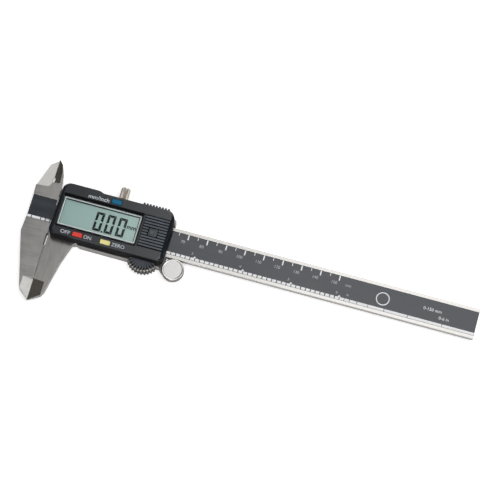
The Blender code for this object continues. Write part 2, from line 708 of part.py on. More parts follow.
def make_button(name, x, y, material, parent):
    """A cap in the face, with a flange that keeps it in and a stem down to its key dome."""
    half_x, half_y = BUTTON_SIZE[0] / 2, BUTTON_SIZE[1] / 2
    place = (x, y, HOUSE_FACE)
    body = block_shape((x - half_x, x + half_x), (y - half_y, y + half_y), (BUTTON_LOW, BUTTON_TOP))
    button = as_object(name, body, parent, place)
    flange_x = half_x + BUTTON_FLANGE
    flange_y = half_y - 0.02
    tall = BUTTON_LOW + 0.15 - BUTTON_FOOT
    flange_z = (BUTTON_LOW - 0.1, BUTTON_LOW + 0.7)
    stem = [(0, 0), (BUTTON_STEM, 0), (BUTTON_STEM, tall), (0, tall)]
    combine(button, "UNION", [
        block_shape((x - flange_x, x + flange_x), (y - flange_y, y + flange_y), flange_z),
        turned_shape(stem, (x, y, BUTTON_FOOT), "Z", 12),
    ])
    return finish(button, material)


def cover_section():
    """The battery cover's section across the caliper: tongues, webs and a ribbed top."""
    low, join = COVER_TONGUE_Z
    side = COVER_HALF - SLIP
    half = [
        (COVER_WEB, FACE_UNDER + FIT), (COVER_WEB, low), (COVER_TONGUE, low),
        (COVER_TONGUE, join), (side, join),
    ]
    pitch = 2 * side / COVER_RIBS
    ridge = HOUSE_FACE + RIB_HIGH
    ribs = [(side, HOUSE_FACE)]
    for k in range(COVER_RIBS):
        right = side - k * pitch
        ribs += [(right - 0.3 * pitch, ridge), (right - 0.65 * pitch, ridge), (right - pitch, HOUSE_FACE)]
    return half + ribs + [(-y, z) for y, z in reversed(half)]


def make_battery_cover(black, parent):
    place = (COVER_X[0], 0, HOUSE_FACE)
    cover = as_object("battery_cover", bar_shape(cover_section(), *COVER_X), parent, place)
    return finish(cover, black)


def make_roller(nickel, screw_steel, parent):
    """The thumb roller on its own stem, through the arm, with a clip in the stem's groove."""
    centre = (ROLLER_X, ROLLER_Y, 0)
    edge = 0.35
    core = STEM_RADIUS - CLIP_GROOVE
    groove = (CLIP_Z[0] - FIT, CLIP_Z[1] + FIT)
    profile = [
        (0, ROLLER_FRONT), (ROLLER_RADIUS - edge, ROLLER_FRONT), (ROLLER_RADIUS, ROLLER_FRONT - edge),
        (ROLLER_RADIUS, ROLLER_BACK + edge), (ROLLER_RADIUS - edge, ROLLER_BACK), (STEM_RADIUS, ROLLER_BACK),
        (STEM_RADIUS, groove[1]), (core, groove[1]), (core, groove[0]), (STEM_RADIUS, groove[0]),
        (STEM_RADIUS, STEM_END), (0, STEM_END),
    ]
    roller = as_object("thumb_roller", turned_shape(profile, centre, segments=48), parent, centre)
    finish(roller, nickel, smooth=True)
    inner = arc(centre, core + FIT, 30, 330, 16)
    outer = arc(centre, CLIP_RADIUS, 330, 30, 16)
    clip = as_object("roller_clip", plate_shape(inner + outer, *CLIP_Z), parent, centre)
    finish(clip, screw_steel)


def make_lock(nickel, brass, parent):
    """The lock screw, which presses a brass pad down on the gib strip."""
    place = (LOCK_X, LOCK_HEAD_LOW, RAIL_MID_Z)
    foot = PAD_TOP + FIT - LOCK_HEAD_LOW
    tall = LOCK_HEAD_TOP - LOCK_HEAD_LOW
    neck = LOCK_THREAD + 0.3
    profile = [
        (0, foot), (LOCK_THREAD, foot), (LOCK_THREAD, -2.4), (neck, -2.0), (neck, 0),
        (LOCK_RADIUS - 0.3, 0), (LOCK_RADIUS, 0.4), (LOCK_RADIUS, tall - 0.5),
        (LOCK_RADIUS - 0.5, tall), (0, tall),
    ]
    lock = as_object("lock_screw", turned_shape(profile, place, "Y", 32), parent, place)
    slot_x = (LOCK_X - LOCK_SLOT_HALF, LOCK_X + LOCK_SLOT_HALF)
    slot_z = (RAIL_MID_Z - LOCK_RADIUS - 2, RAIL_MID_Z + LOCK_RADIUS + 2)
    slot = block_shape(slot_x, (LOCK_HEAD_TOP - LOCK_SLOT_DEEP, LOCK_HEAD_TOP + PAST), slot_z)
    combine(lock, "DIFFERENCE", [slot])
    finish(lock, nickel, smooth=True)
    place = (LOCK_X, PAD_LOW, RAIL_MID_Z)
    thick = PAD_TOP - PAD_LOW
    disc = turned_shape([(0, 0), (PAD_RADIUS, 0), (PAD_RADIUS, thick), (0, thick)], place, "Y", 24)
    finish(as_object("lock_pad", disc, parent, place), brass, smooth=True)


def main():
    clear_scene()
    mats = {name: make_material(name) for name in FINISHES}
    left = min(x for x, _ in beam_outline())
    middle = ((left + BEAM_END) / 2, (LOWER_TIP + UPPER_TIP) / 2, FRAME_BACK)
    caliper = make_empty("caliper", [-value for value in middle])
    slider = make_empty("slider", (0, 0, 0), caliper)

    make_beam(mats["steel"], caliper)
    make_scale(mats["board_green"], mats["label_black"], caliper)
    make_end_stop(mats["steel"], mats["screw_steel"], caliper)

    make_slider_frame(mats["steel"], slider)
    make_slider_fittings(mats["steel"], mats["screw_steel"], mats["brass"], mats["label_black"], slider)
    make_housing(mats["housing_black"], slider)
    make_housing_screws(mats["screw_steel"], slider)
    make_display(mats, slider)
    make_circuit(mats, slider)

    colours = ("button_blue", "button_red", "button_yellow")
    for (name, (x, y)), colour in zip(BUTTONS.items(), colours):
        make_button(name, x, y, mats[colour], slider)
    make_battery_cover(mats["housing_black"], slider)
    make_roller(mats["roller_nickel"], mats["screw_steel"], slider)
    make_lock(mats["lock_nickel"], mats["brass"], slider)


main()
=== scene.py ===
"""Looks of the digital caliper: finished meshes, materials, print, studio light and camera.

Pieces are drawn in millimetres in the caliper's own axes, as in part.py: X runs along the beam from
the closed measuring faces, Y across the beam towards the inside jaws, Z up out of the display, and
z = 0 is the beam's front face. ORIGIN puts them in the frame, whose boxes also give the sizes.
"""

import json
import math

import bmesh
import bpy
from mathutils import Matrix, Vector

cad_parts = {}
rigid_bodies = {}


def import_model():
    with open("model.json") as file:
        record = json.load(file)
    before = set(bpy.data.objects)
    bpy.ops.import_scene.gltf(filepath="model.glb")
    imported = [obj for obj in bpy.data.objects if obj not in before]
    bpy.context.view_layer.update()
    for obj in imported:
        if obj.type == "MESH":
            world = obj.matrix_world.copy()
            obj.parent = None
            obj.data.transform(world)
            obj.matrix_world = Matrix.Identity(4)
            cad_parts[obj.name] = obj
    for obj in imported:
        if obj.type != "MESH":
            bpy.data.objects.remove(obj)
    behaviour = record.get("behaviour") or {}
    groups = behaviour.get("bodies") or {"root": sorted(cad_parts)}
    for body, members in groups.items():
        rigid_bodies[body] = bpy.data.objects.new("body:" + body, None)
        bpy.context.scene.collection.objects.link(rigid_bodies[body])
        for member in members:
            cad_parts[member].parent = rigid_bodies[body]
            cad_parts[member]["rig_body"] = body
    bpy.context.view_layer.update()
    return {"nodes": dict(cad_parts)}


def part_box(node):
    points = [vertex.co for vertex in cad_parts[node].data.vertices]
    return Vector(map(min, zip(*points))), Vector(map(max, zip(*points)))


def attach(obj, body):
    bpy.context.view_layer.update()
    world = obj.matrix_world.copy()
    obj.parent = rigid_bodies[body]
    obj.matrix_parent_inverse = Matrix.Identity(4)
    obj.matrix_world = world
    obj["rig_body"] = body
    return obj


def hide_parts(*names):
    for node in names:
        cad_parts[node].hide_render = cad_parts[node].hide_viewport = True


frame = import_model()

# Lengths are in millimetres and angles in degrees, but ORIGIN and the frame's boxes are in metres
MM = 0.001
BEAM_END = 222.9
BEAM_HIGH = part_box("beam")[1]
LABEL_LOW, LABEL_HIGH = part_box("scale_label")
ORIGIN = Vector((BEAM_HIGH.x - BEAM_END * MM, (LABEL_LOW.y + LABEL_HIGH.y) / 2, BEAM_HIGH.z))

INCH = 25.4
INK = 0.012             # thickness of the print
CAPITAL_SHARE = 0.73    # a capital's height in a font of size 1
SMOOTH_ANGLE = 32
FLAT_ANGLE = 0.5
BEVEL_ANGLE = 24
BEVEL_STEPS = 2
WELD = 1e-6             # metres
LARGE_FACE = 1.5e-6     # square metres
PAST = 3                # how far cutters reach out of the face

# Scale print: heights across the beam, half widths along it, and the plain ring near its end
SCALE_NUMBERS = range(10, 160, 10)
TICK_TOP = 6.15
TICK_LONG, TICK_SHORT = 2.65, 1.5
TICK_WIDE, TICK_FINE = 0.31, 0.16
BAND_TOP, BAND_LOW = -4.9, -6.22
BAND_START = -13.1
BAND_GAP, BAND_FINE_GAP = 0.5, 0.3
BAND_STEP, BAND_STRETCH = 2.7, 1.46
POINTER_HALF, POINTER_TALL = 0.75, 1.1
MARK_CENTRE = (173.8, 0.1)
MARK_RADIUS, MARK_STROKE = 3.5, 0.5

# Display: silver frame, black surround and figures
FRAME_X = (4.15, 44.9)
FRAME_Y = (-7.85, 7.2)
FRAME_WIDE = 0.62
SURROUND_X = (3.3, 45.7)
SURROUND_Y = (-9.3, 9.0)
SURROUND_DEEP = 0.35
SURROUND_SLOPE = 0.12
WINDOW_GAP = 0.15
FIGURE_X = (22.0, 28.0, 34.0)
FIGURE_SIZE = (4.3, 10.2)
FIGURE_LOW = -6.3
FIGURE_STROKE = 1.3
FIGURE_GAP = 0.05
FIGURE_LEAN = 0.02

# Thumb rest: where the steel walls between its teeth lie, which carry painted shade
TEETH_X = (41.0, 60.5)
TEETH_TOP = -14.6

# Housing
HOUSE_FACE = 8.1
FACE_UNDER = 6.9
# WALL_TOP and PAD_TOP also bound the shell's faces that get painted shade
WALL_TOP = 7.15
PAD_TOP = -13.65
WALL = 0.8
COVER_BAY = (-8.65, 8.65)
COVER_TRACKS = (-9.3, 9.3)
COVER_EXIT = 9          # how far the cover's bay runs past its end, out of the shell
COVER_RIBS = 11
COVER_RIB_HIGH = 0.34
GROOVE_DEEP = 0.75


def mm_box(node):
    """A CAD node's box in caliper millimetres."""
    low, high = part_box(node)
    return (low - ORIGIN) / MM, (high - ORIGIN) / MM


def middle_of(low, high):
    """The x and y of a box's middle."""
    return (low.x + high.x) / 2, (low.y + high.y) / 2


# ---------------- materials


def new_material(name, colour, roughness, metallic=0.0, **sockets):
    """A material, its node tree and its shader, with the sockets' values set."""
    material = bpy.data.materials.new(name)
    material.use_nodes = True
    shader = material.node_tree.nodes["Principled BSDF"]
    shader.inputs["Base Color"].default_value = (*colour, 1)
    shader.inputs["Roughness"].default_value = roughness
    shader.inputs["Metallic"].default_value = metallic
    for socket, value in sockets.items():
        shader.inputs[socket.replace("_", " ")].default_value = value
    return material, material.node_tree, shader


def node(tree, kind, **values):
    """A shader node with its attributes set, and its inputs where a value's name starts with a capital."""
    made = tree.nodes.new(kind)
    for key, value in values.items():
        if key[0].isupper():
            made.inputs[key.replace("_", " ")].default_value = value
        else:
            setattr(made, key, value)
    return made


def noise(tree, stretch, detail=3.0, roughness=0.55):
    """Noise whose cells are 1/stretch metres long on each axis of the object."""
    place = node(tree, "ShaderNodeTexCoord")
    scaled = node(tree, "ShaderNodeMapping", vector_type="POINT", Scale=stretch)
    made = node(tree, "ShaderNodeTexNoise", Scale=1.0, Detail=detail, Roughness=roughness)
    tree.links.new(place.outputs["Object"], scaled.inputs["Vector"])
    tree.links.new(scaled.outputs["Vector"], made.inputs["Vector"])
    return made.outputs["Fac"]


def ranged(tree, value, low, high, start=0.3, end=0.7):
    """The value's stretch from start to end, spread from low to high."""
    made = node(tree, "ShaderNodeMapRange", From_Min=start, From_Max=end, To_Min=low, To_Max=high)
    tree.links.new(value, made.inputs["Value"])
    return made.outputs["Result"]


def mixed(tree, factor, first, second):
    """A colour from first to second by the factor; either may be a colour or a node's output."""
    made = node(tree, "ShaderNodeMix", data_type="RGBA", clamp_factor=True)
    tree.links.new(factor, made.inputs["Factor"])
    for socket, colour in ((made.inputs[6], first), (made.inputs[7], second)):
        if isinstance(colour, tuple):
            socket.default_value = (*colour, 1)
        else:
            tree.links.new(colour, socket)
    return made.outputs[2]


def coordinates(tree, kind="Object"):
    """The outputs X, Y and Z of the place on the surface, in metres."""
    place = node(tree, "ShaderNodeTexCoord")
    axes = node(tree, "ShaderNodeSeparateXYZ")
    tree.links.new(place.outputs[kind], axes.inputs["Vector"])
    return axes.outputs


def add_bump(tree, shader, height, depth):
    """Relief of the height, depth millimetres deep."""
    made = node(tree, "ShaderNodeBump", Strength=1.0, Distance=depth * MM)
    tree.links.new(height, made.inputs["Height"])
    tree.links.new(made.outputs["Normal"], shader.inputs["Normal"])


def brushed_metal(name, light, dark, streak, roughness=(0.24, 0.4), anisotropic=0.35, depth=0.004):
    """Ground metal: fine lines along the axis with the smallest stretch, with soft cloudy stains."""
    material, tree, shader = new_material(name, light, roughness[0], 1.0, Anisotropic=anisotropic)
    lines = noise(tree, streak, 4.0, 0.7)
    clouds = noise(tree, (160, 160, 160), 2.0)
    tone = mixed(tree, ranged(tree, lines, 0, 1), dark, light)
    stained = mixed(tree, ranged(tree, clouds, 0, 0.35, 0.42, 0.72), tone, dark)
    tree.links.new(stained, shader.inputs["Base Color"])
    tree.links.new(ranged(tree, lines, *roughness), shader.inputs["Roughness"])
    add_bump(tree, shader, lines, depth)
    return material


def turned_metal(name, light, dark, rings):
    """Lathe-turned metal: fine rings round the piece's own axis, and a few broad soft ones."""
    material, tree, shader = new_material(name, light, 0.22, 1.0)
    place = coordinates(tree)
    flat = node(tree, "ShaderNodeCombineXYZ")
    reach = node(tree, "ShaderNodeVectorMath", operation="LENGTH")
    for axis in "XY":
        tree.links.new(place[axis], flat.inputs[axis])
    tree.links.new(flat.outputs["Vector"], reach.inputs["Vector"])
    spread = node(tree, "ShaderNodeMath", operation="MULTIPLY")
    spread.inputs[1].default_value = rings
    tree.links.new(reach.outputs["Value"], spread.inputs[0])
    line = node(tree, "ShaderNodeTexNoise", noise_dimensions="1D", Scale=1.0, Detail=4.0, Roughness=0.7)
    tree.links.new(spread.outputs["Value"], line.inputs["W"])
    stains = noise(tree, (300, 300, 300), 2.0)
    tone = mixed(tree, ranged(tree, line.outputs["Fac"], 0, 1), dark, light)
    stained = mixed(tree, ranged(tree, stains, 0, 0.2), tone, dark)
    tree.links.new(stained, shader.inputs["Base Color"])
    tree.links.new(ranged(tree, line.outputs["Fac"], 0.17, 0.27), shader.inputs["Roughness"])
    add_bump(tree, shader, line.outputs["Fac"], 0.0025)
    return material


def satin_to_ground_steel(name):
    """The beam's steel: satin on the jaws, ground from the housing outwards; brighter along X, partly by
    that finish and partly as painted sheen.
    """
    material, tree, shader = new_material(name, (0.6, 0.58, 0.55), 0.3, 1.0, Anisotropic=0.3)
    # Painted sheen: the base colour brightens along X from the jaws to the ground margins, partly the real
    # change of finish and partly standing in for brighter light there
    start, end = ORIGIN.x + 5 * MM, ORIGIN.x + 60 * MM
    along = ranged(tree, coordinates(tree)["X"], 0, 1, start, end)
    lines = noise(tree, (60, 3500, 3500), 4.0, 0.7)
    clouds = noise(tree, (140, 140, 140), 2.0)
    satin = mixed(tree, ranged(tree, clouds, 0, 1), (0.42, 0.415, 0.4), (0.5, 0.495, 0.48))
    ground = mixed(tree, ranged(tree, lines, 0, 1), (0.54, 0.525, 0.505), (0.68, 0.665, 0.645))
    tree.links.new(mixed(tree, along, satin, ground), shader.inputs["Base Color"])
    tree.links.new(ranged(tree, lines, 0.15, 0.24), shader.inputs["Roughness"])
    add_bump(tree, shader, lines, 0.001)
    return material


def moulded_plastic(
        name, colour, deep, roughness=(0.36, 0.5), grain=4200, depth=0.008, coat=0.0, gloss=0.5):
    """Moulded plastic with a fine spark-eroded grain and soft variation in tone and gloss."""
    material, tree, shader = new_material(
        name, colour, roughness[0], Specular_IOR_Level=gloss, Coat_Weight=coat, Coat_Roughness=0.18)
    fine = noise(tree, (grain, grain, grain), 3.0, 0.6)
    broad = noise(tree, (120, 120, 120), 3.0)
    tree.links.new(mixed(tree, ranged(tree, broad, 0, 1), deep, colour), shader.inputs["Base Color"])
    tree.links.new(ranged(tree, fine, *roughness), shader.inputs["Roughness"])
    add_bump(tree, shader, fine, depth)
    return material


def printed_film(name, colour, deep):
    """The scale's printed film: flat dark lacquer with a fine tooth and rubbed, glossier patches."""
    material, tree, shader = new_material(name, colour, 0.32, Specular_IOR_Level=0.9)
    tooth = noise(tree, (5200, 5200, 5200), 2.0)
    rubbed = noise(tree, (45, 260, 260), 4.0)
    tree.links.new(mixed(tree, ranged(tree, rubbed, 0, 1), deep, colour), shader.inputs["Base Color"])
    tree.links.new(ranged(tree, rubbed, 0.12, 0.2), shader.inputs["Roughness"])
    add_bump(tree, shader, tooth, 0.002)
    return material


def ink(name, colour, worn, gloss=0.4):
    """Printing ink, thin and worn in small specks."""
    material, tree, shader = new_material(name, colour, 0.5, Specular_IOR_Level=gloss)
    wear = noise(tree, (1500, 1500, 1500), 3.0)
    speckled = mixed(tree, ranged(tree, wear, 0, 1, 0.35, 0.5), worn, colour)
    tree.links.new(speckled, shader.inputs["Base Color"])
    tree.links.new(ranged(tree, wear, 0.42, 0.6), shader.inputs["Roughness"])
    return material


def crystal_cell(name):
    """The liquid crystal's grey-green reflector, darker and greener to the left as painted shade."""
    material, tree, shader = new_material(name, (0.4, 0.5, 0.46), 0.3)
    # Painted shade: the tone darkens and turns greener from right to left along X
    left, right = ORIGIN.x + FRAME_X[0] * MM, ORIGIN.x + FRAME_X[1] * MM
    along = ranged(tree, coordinates(tree)["X"], 0, 1, left, right)
    grain = noise(tree, (2600, 2600, 2600), 2.0)
    tone = mixed(tree, along, (0.33, 0.46, 0.445), (0.45, 0.58, 0.565))
    lighter = mixed(tree, ranged(tree, grain, 0, 0.25), tone, (0.52, 0.66, 0.64))
    tree.links.new(lighter, shader.inputs["Base Color"])
    tree.links.new(ranged(tree, grain, 0.28, 0.38), shader.inputs["Roughness"])
    return material


def clear_window(name):
    """A thin acrylic window: clear, with a faint gloss that grows towards grazing angles."""
    material = bpy.data.materials.new(name)
    material.use_nodes = True
    tree = material.node_tree
    tree.nodes.remove(tree.nodes["Principled BSDF"])
    clear = node(tree, "ShaderNodeBsdfTransparent", Color=(0.96, 0.98, 0.97, 1))
    smear = noise(tree, (220, 500, 220), 3.0)
    gloss = node(tree, "ShaderNodeBsdfGlossy", Color=(0.9, 0.92, 0.93, 1))
    tree.links.new(ranged(tree, smear, 0.05, 0.14), gloss.inputs["Roughness"])
    facing = node(tree, "ShaderNodeFresnel", IOR=1.35)
    mix = node(tree, "ShaderNodeMixShader")
    tree.links.new(facing.outputs["Fac"], mix.inputs["Fac"])
    tree.links.new(clear.outputs["BSDF"], mix.inputs[1])
    tree.links.new(gloss.outputs["BSDF"], mix.inputs[2])
    tree.links.new(mix.outputs["Shader"], tree.nodes["Material Output"].inputs["Surface"])
    return material


def circuit_material(name):
    """Glass-epoxy board: green mask over a faint weave and lighter copper lines."""
    material, tree, shader = new_material(name, (0.02, 0.16, 0.07), 0.35, Coat_Weight=0.4)
    place = node(tree, "ShaderNodeTexCoord")
    lines = node(
        tree, "ShaderNodeTexWave", wave_type="BANDS", bands_direction="X", Scale=240.0, Distortion=1.5)
    tree.links.new(place.outputs["Object"], lines.inputs["Vector"])
    weave = noise(tree, (3000, 3000, 300), 2.0)
    copper = ranged(tree, lines.outputs["Fac"], 0, 0.6, 0.7, 0.8)
    tree.links.new(mixed(tree, copper, (0.015, 0.13, 0.055), (0.09, 0.3, 0.1)), shader.inputs["Base Color"])
    tree.links.new(ranged(tree, weave, 0.28, 0.42), shader.inputs["Roughness"])
    add_bump(tree, shader, lines.outputs["Fac"], 0.01)
    return material


def make_materials():
    """Every material of the caliper, by name."""
    return {
        "beam_steel": satin_to_ground_steel("beam_steel"),
        "slider_steel": brushed_metal(
            "slider_steel", (0.43, 0.42, 0.405), (0.37, 0.36, 0.345),
            (2600, 110, 2600), (0.16, 0.25), 0.3, 0.0012),
        # Painted shade: darker steel for the walls between the thumb rest's teeth
        "tooth_wall_shade_steel": brushed_metal(
            "tooth_wall_shade_steel", (0.2, 0.185, 0.165), (0.07, 0.062, 0.055), (300, 300, 300), (0.3, 0.45), 0.0),
        "screw_steel": brushed_metal(
            "screw_steel", (0.62, 0.6, 0.58), (0.4, 0.39, 0.37), (2500, 2500, 300), (0.2, 0.34)),
        "roller_nickel": turned_metal("roller_nickel", (0.74, 0.735, 0.72), (0.6, 0.595, 0.58), 2600),
        # Painted shade: darker nickel for the roller's knurled side
        "knurl_shade_nickel": brushed_metal(
            "knurl_shade_nickel", (0.5, 0.46, 0.42), (0.26, 0.235, 0.21), (1400, 1400, 200), (0.24, 0.4), 0.0),
        "lock_nickel": brushed_metal(
            "lock_nickel", (0.72, 0.66, 0.6), (0.5, 0.45, 0.4), (2200, 160, 2200), (0.22, 0.36)),
        "brass": brushed_metal(
            "brass", (0.78, 0.58, 0.26), (0.6, 0.42, 0.18), (90, 2600, 2600), (0.25, 0.4)),
        "cell_steel": brushed_metal(
            "cell_steel", (0.8, 0.79, 0.77), (0.62, 0.61, 0.6), (1800, 1800, 200), (0.16, 0.26)),
        "bezel_silver": moulded_plastic(
            "bezel_silver", (0.84, 0.85, 0.87), (0.74, 0.75, 0.78), (0.3, 0.42), 3400, 0.004),
        "film": printed_film("film", (0.010, 0.0165, 0.026), (0.007, 0.0115, 0.019)),
        "housing_black": moulded_plastic(
            "housing_black", (0.005, 0.0095, 0.0155), (0.003, 0.0055, 0.0095),
            (0.12, 0.2), 5200, 0.0015, gloss=0.85),
        # Painted shade: near-black matte plastic for grooves, side walls and the thumb pad
        "groove_and_wall_shade_black": moulded_plastic(
            "groove_and_wall_shade_black", (0.003, 0.0035, 0.004), (0.002, 0.002, 0.0025), (0.6, 0.75), gloss=0.15),
        # Painted highlight: lighter grey plastic for the tops of the cover's and thumb pad's ribs
        "rib_top_highlight_grey": moulded_plastic(
            "rib_top_highlight_grey", (0.085, 0.098, 0.115), (0.055, 0.064, 0.078), (0.4, 0.55)),
        # Black for the display's surround and mask, and for the painted shadow line inside the silver frame
        "surround_black_and_shadow": moulded_plastic(
            "surround_black_and_shadow", (0.0015, 0.0015, 0.002), (0.001, 0.001, 0.001),
            (0.4, 0.55), 2600, 0.004, gloss=0.08),
        "rubber_grey": moulded_plastic(
            "rubber_grey", (0.16, 0.16, 0.17), (0.1, 0.1, 0.1), (0.7, 0.85), 3000, 0.02),
        "epoxy_black": moulded_plastic(
            "epoxy_black", (0.012, 0.012, 0.012), (0.006, 0.006, 0.006), (0.2, 0.34), 900, 0.02),
        "button_blue": moulded_plastic("button_blue", (0.0, 0.145, 0.28), (0.0, 0.115, 0.23), gloss=0.3),
        "button_red": moulded_plastic("button_red", (0.8, 0.045, 0.03), (0.66, 0.03, 0.02), coat=0.2),
        "button_yellow": moulded_plastic("button_yellow", (0.88, 0.8, 0.36), (0.8, 0.7, 0.27), coat=0.2),
        "ink_white": ink("ink_white", (0.86, 0.87, 0.88), (0.76, 0.77, 0.79)),
        "ink_label": ink("ink_label", (0.62, 0.66, 0.7), (0.5, 0.54, 0.58)),
        "ink_grey": ink("ink_grey", (0.5, 0.52, 0.54), (0.36, 0.38, 0.4)),
        "segment_black": ink("segment_black", (0.002, 0.005, 0.005), (0.004, 0.008, 0.008), 0.05),
        "cell_green": crystal_cell("cell_green"),
        "window_clear": clear_window("window_clear"),
        "board_green": circuit_material("board_green"),
    }


# ---------------- shapes


def loft(shape, sections, closed=True):
    """Adds rings of the same number of points to the bmesh, capped at both ends if closed."""
    rings = [[shape.verts.new(point) for point in section] for section in sections]
    if closed:
        shape.faces.new(rings[0])
        shape.faces.new(rings[-1])
    for low, high in zip(rings, rings[1:]):
        for i in range(len(low)):
            j = (i + 1) % len(low)
            shape.faces.new((low[i], low[j], high[j], high[i]))
    return shape


def turned(shape, profile, centre, segments, axis="Z", knurl=None):
    """Adds a profile of (radius, height) points, turned about the axis, that starts and ends on it.

    knurl is (first, last, teeth, depth): the profile's points from first to last carry straight teeth.
    The teeth need several segments each.
    """
    rings = []
    for number, (radius, height) in enumerate(profile):
        if radius == 0:
            corner = (0, 0, height) if axis == "Z" else (0, height, 0)
            rings.append([shape.verts.new(Vector(centre) + Vector(corner))])
            continue
        ring = []
        for k in range(segments):
            turn = math.tau * k / segments
            reach = radius
            if knurl and knurl[0] <= number <= knurl[1]:
                reach -= knurl[3] * (0.5 + 0.5 * math.cos(turn * knurl[2]))
            a, b = reach * math.cos(turn), reach * math.sin(turn)
            corner = (a, b, height) if axis == "Z" else (a, height, b)
            ring.append(shape.verts.new(Vector(centre) + Vector(corner)))
        rings.append(ring)
    for low, high in zip(rings, rings[1:]):
        for i in range(segments):
            j = (i + 1) % segments
            corners = [low[i % len(low)], low[j % len(low)], high[j % len(high)], high[i % len(high)]]
            shape.faces.new(list(dict.fromkeys(corners)))
    return shape


def rounded(points, radius, steps=4):
    """The outline with each corner turned into a short curve."""
    made = []
    for k, corner in enumerate(points):
        here = Vector(corner)
        before, after = Vector(points[k - 1]), Vector(points[(k + 1) % len(points)])
        reach = min(radius, (before - here).length * 0.45, (after - here).length * 0.45)
        start = here + (before - here).normalized() * reach
        end = here + (after - here).normalized() * reach
        for step in range(steps + 1):
            t = step / steps
            made.append(tuple(start * (1 - t) ** 2 + here * 2 * t * (1 - t) + end * t ** 2))
    return made


def rectangle(xs, ys):
    """The outline between two x and two y."""
    return [(xs[0], ys[0]), (xs[1], ys[0]), (xs[1], ys[1]), (xs[0], ys[1])]


def grown(pair, by):
    """A low and a high value moved apart by that much each."""
    return (pair[0] - by, pair[1] + by)


def shrunk(outline, end, side):
    """The outline drawn in by end at its greatest x and by side at its greatest y, about its middle."""
    xs = [x for x, _ in outline]
    ys = [y for _, y in outline]
    mid_x, mid_y = (min(xs) + max(xs)) / 2, (min(ys) + max(ys)) / 2
    scale_x = 1 - 2 * end / (max(xs) - min(xs))
    scale_y = 1 - 2 * side / (max(ys) - min(ys))
    return [(mid_x + (x - mid_x) * scale_x, mid_y + (y - mid_y) * scale_y) for x, y in outline]


def raised(shape, outline, low, high, edge=0.0):
    """Adds a plate with the outline, its top edge rounded by edge."""
    sections = [(0, low), (0, high - edge), (0.3 * edge, high - 0.3 * edge), (edge, high)]
    if not edge:
        sections = [(0, low), (0, high)]
    return loft(shape, [[(x, y, z) for x, y in shrunk(outline, by, by)] for by, z in sections])


def placed(name, data):
    """A new object with the data, in the scene."""
    item = bpy.data.objects.new(name, data)
    bpy.context.scene.collection.objects.link(item)
    return item


def meshed(name, shape, material):
    """A new object from a bmesh in metres, in the scene."""
    mesh = bpy.data.meshes.new(name)
    shape.to_mesh(mesh)
    shape.free()
    mesh.materials.append(material)
    return placed(name, mesh)


def finished(name, shape, material, origin=(0, 0, 0)):
    """An object from a bmesh drawn in caliper millimetres, placed in the frame with its own origin."""
    bmesh.ops.recalc_face_normals(shape, faces=shape.faces)
    bmesh.ops.translate(shape, verts=shape.verts, vec=-Vector(origin))
    bmesh.ops.scale(shape, verts=shape.verts, vec=(MM, MM, MM))
    item = meshed(name, shape, material)
    item.location = ORIGIN + Vector(origin) * MM
    item.data.shade_smooth()
    item.data.set_sharp_from_angle(angle=math.radians(SMOOTH_ANGLE))
    return item


def evaluated(item):
    """A new mesh from the object with its modifiers applied, or from a text object."""
    ready = item.evaluated_get(bpy.context.evaluated_depsgraph_get())
    return bpy.data.meshes.new_from_object(ready)


def even_normals(item):
    """Lets the large faces decide the shading at each corner, so that flat faces shade flat."""
    step = item.modifiers.new("Normals", "WEIGHTED_NORMAL")
    step.keep_sharp = True
    step.weight = 100


def cut(item, shapes):
    """Cuts closed shapes from an object, and leaves its mesh final."""
    for number, shape in enumerate(shapes):
        tool = finished(f"{item.name}_cutter_{number}", shape, item.data.materials[0])
        step = item.modifiers.new("Cut", "BOOLEAN")
        step.object = tool
        step.solver = "EXACT"
    bpy.context.view_layer.update()
    mesh = evaluated(item)
    for step in list(item.modifiers):
        bpy.data.objects.remove(step.object, do_unlink=True)
        item.modifiers.remove(step)
    item.data = mesh
    mesh.set_sharp_from_angle(angle=math.radians(SMOOTH_ANGLE))


def joined(item, other):
    """Moves the other object's mesh into the item's."""
    shape = bmesh.new()
    shape.from_mesh(item.data)
    other.data.transform(item.matrix_basis.inverted() @ other.matrix_basis)
    shape.from_mesh(other.data)
    shape.to_mesh(item.data)
    shape.free()
    bpy.data.objects.remove(other, do_unlink=True)


def settle(item, body, nodes=()):
    """Sets what the piece rides on and the CAD nodes that it stands for."""
    even_normals(item)
    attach(item, body)
    if nodes:
        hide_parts(*nodes)
    return item


def refined(mats, node_name, name, finish, width, facet=30):
    """A copy of a CAD solid with whole flat faces and edges rounded by width millimetres.

    Edges that turn by more than facet degrees between two large faces stay crisp. Its one
    material is the finish.
    """
    source = frame["nodes"][node_name]
    shape = bmesh.new()
    shape.from_mesh(source.data)
    bmesh.ops.remove_doubles(shape, verts=shape.verts, dist=WELD)
    bmesh.ops.dissolve_limit(
        shape, angle_limit=math.radians(FLAT_ANGLE), verts=shape.verts, edges=shape.edges)
    for face in shape.faces:
        face.smooth = True
    for line in shape.edges:
        turn = math.degrees(line.calc_face_angle(0))
        smallest = min(face.calc_area() for face in line.link_faces)
        line.smooth = turn < facet or (turn < SMOOTH_ANGLE and smallest < LARGE_FACE)
    item = meshed(name, shape, mats[finish])
    edge = item.modifiers.new("Edges", "BEVEL")
    edge.width = width * MM
    edge.segments = BEVEL_STEPS
    edge.limit_method = "ANGLE"
    edge.angle_limit = math.radians(BEVEL_ANGLE)
    edge.use_clamp_overlap = False
    edge.miter_outer = "MITER_ARC"
    return settle(item, source["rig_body"], [node_name])


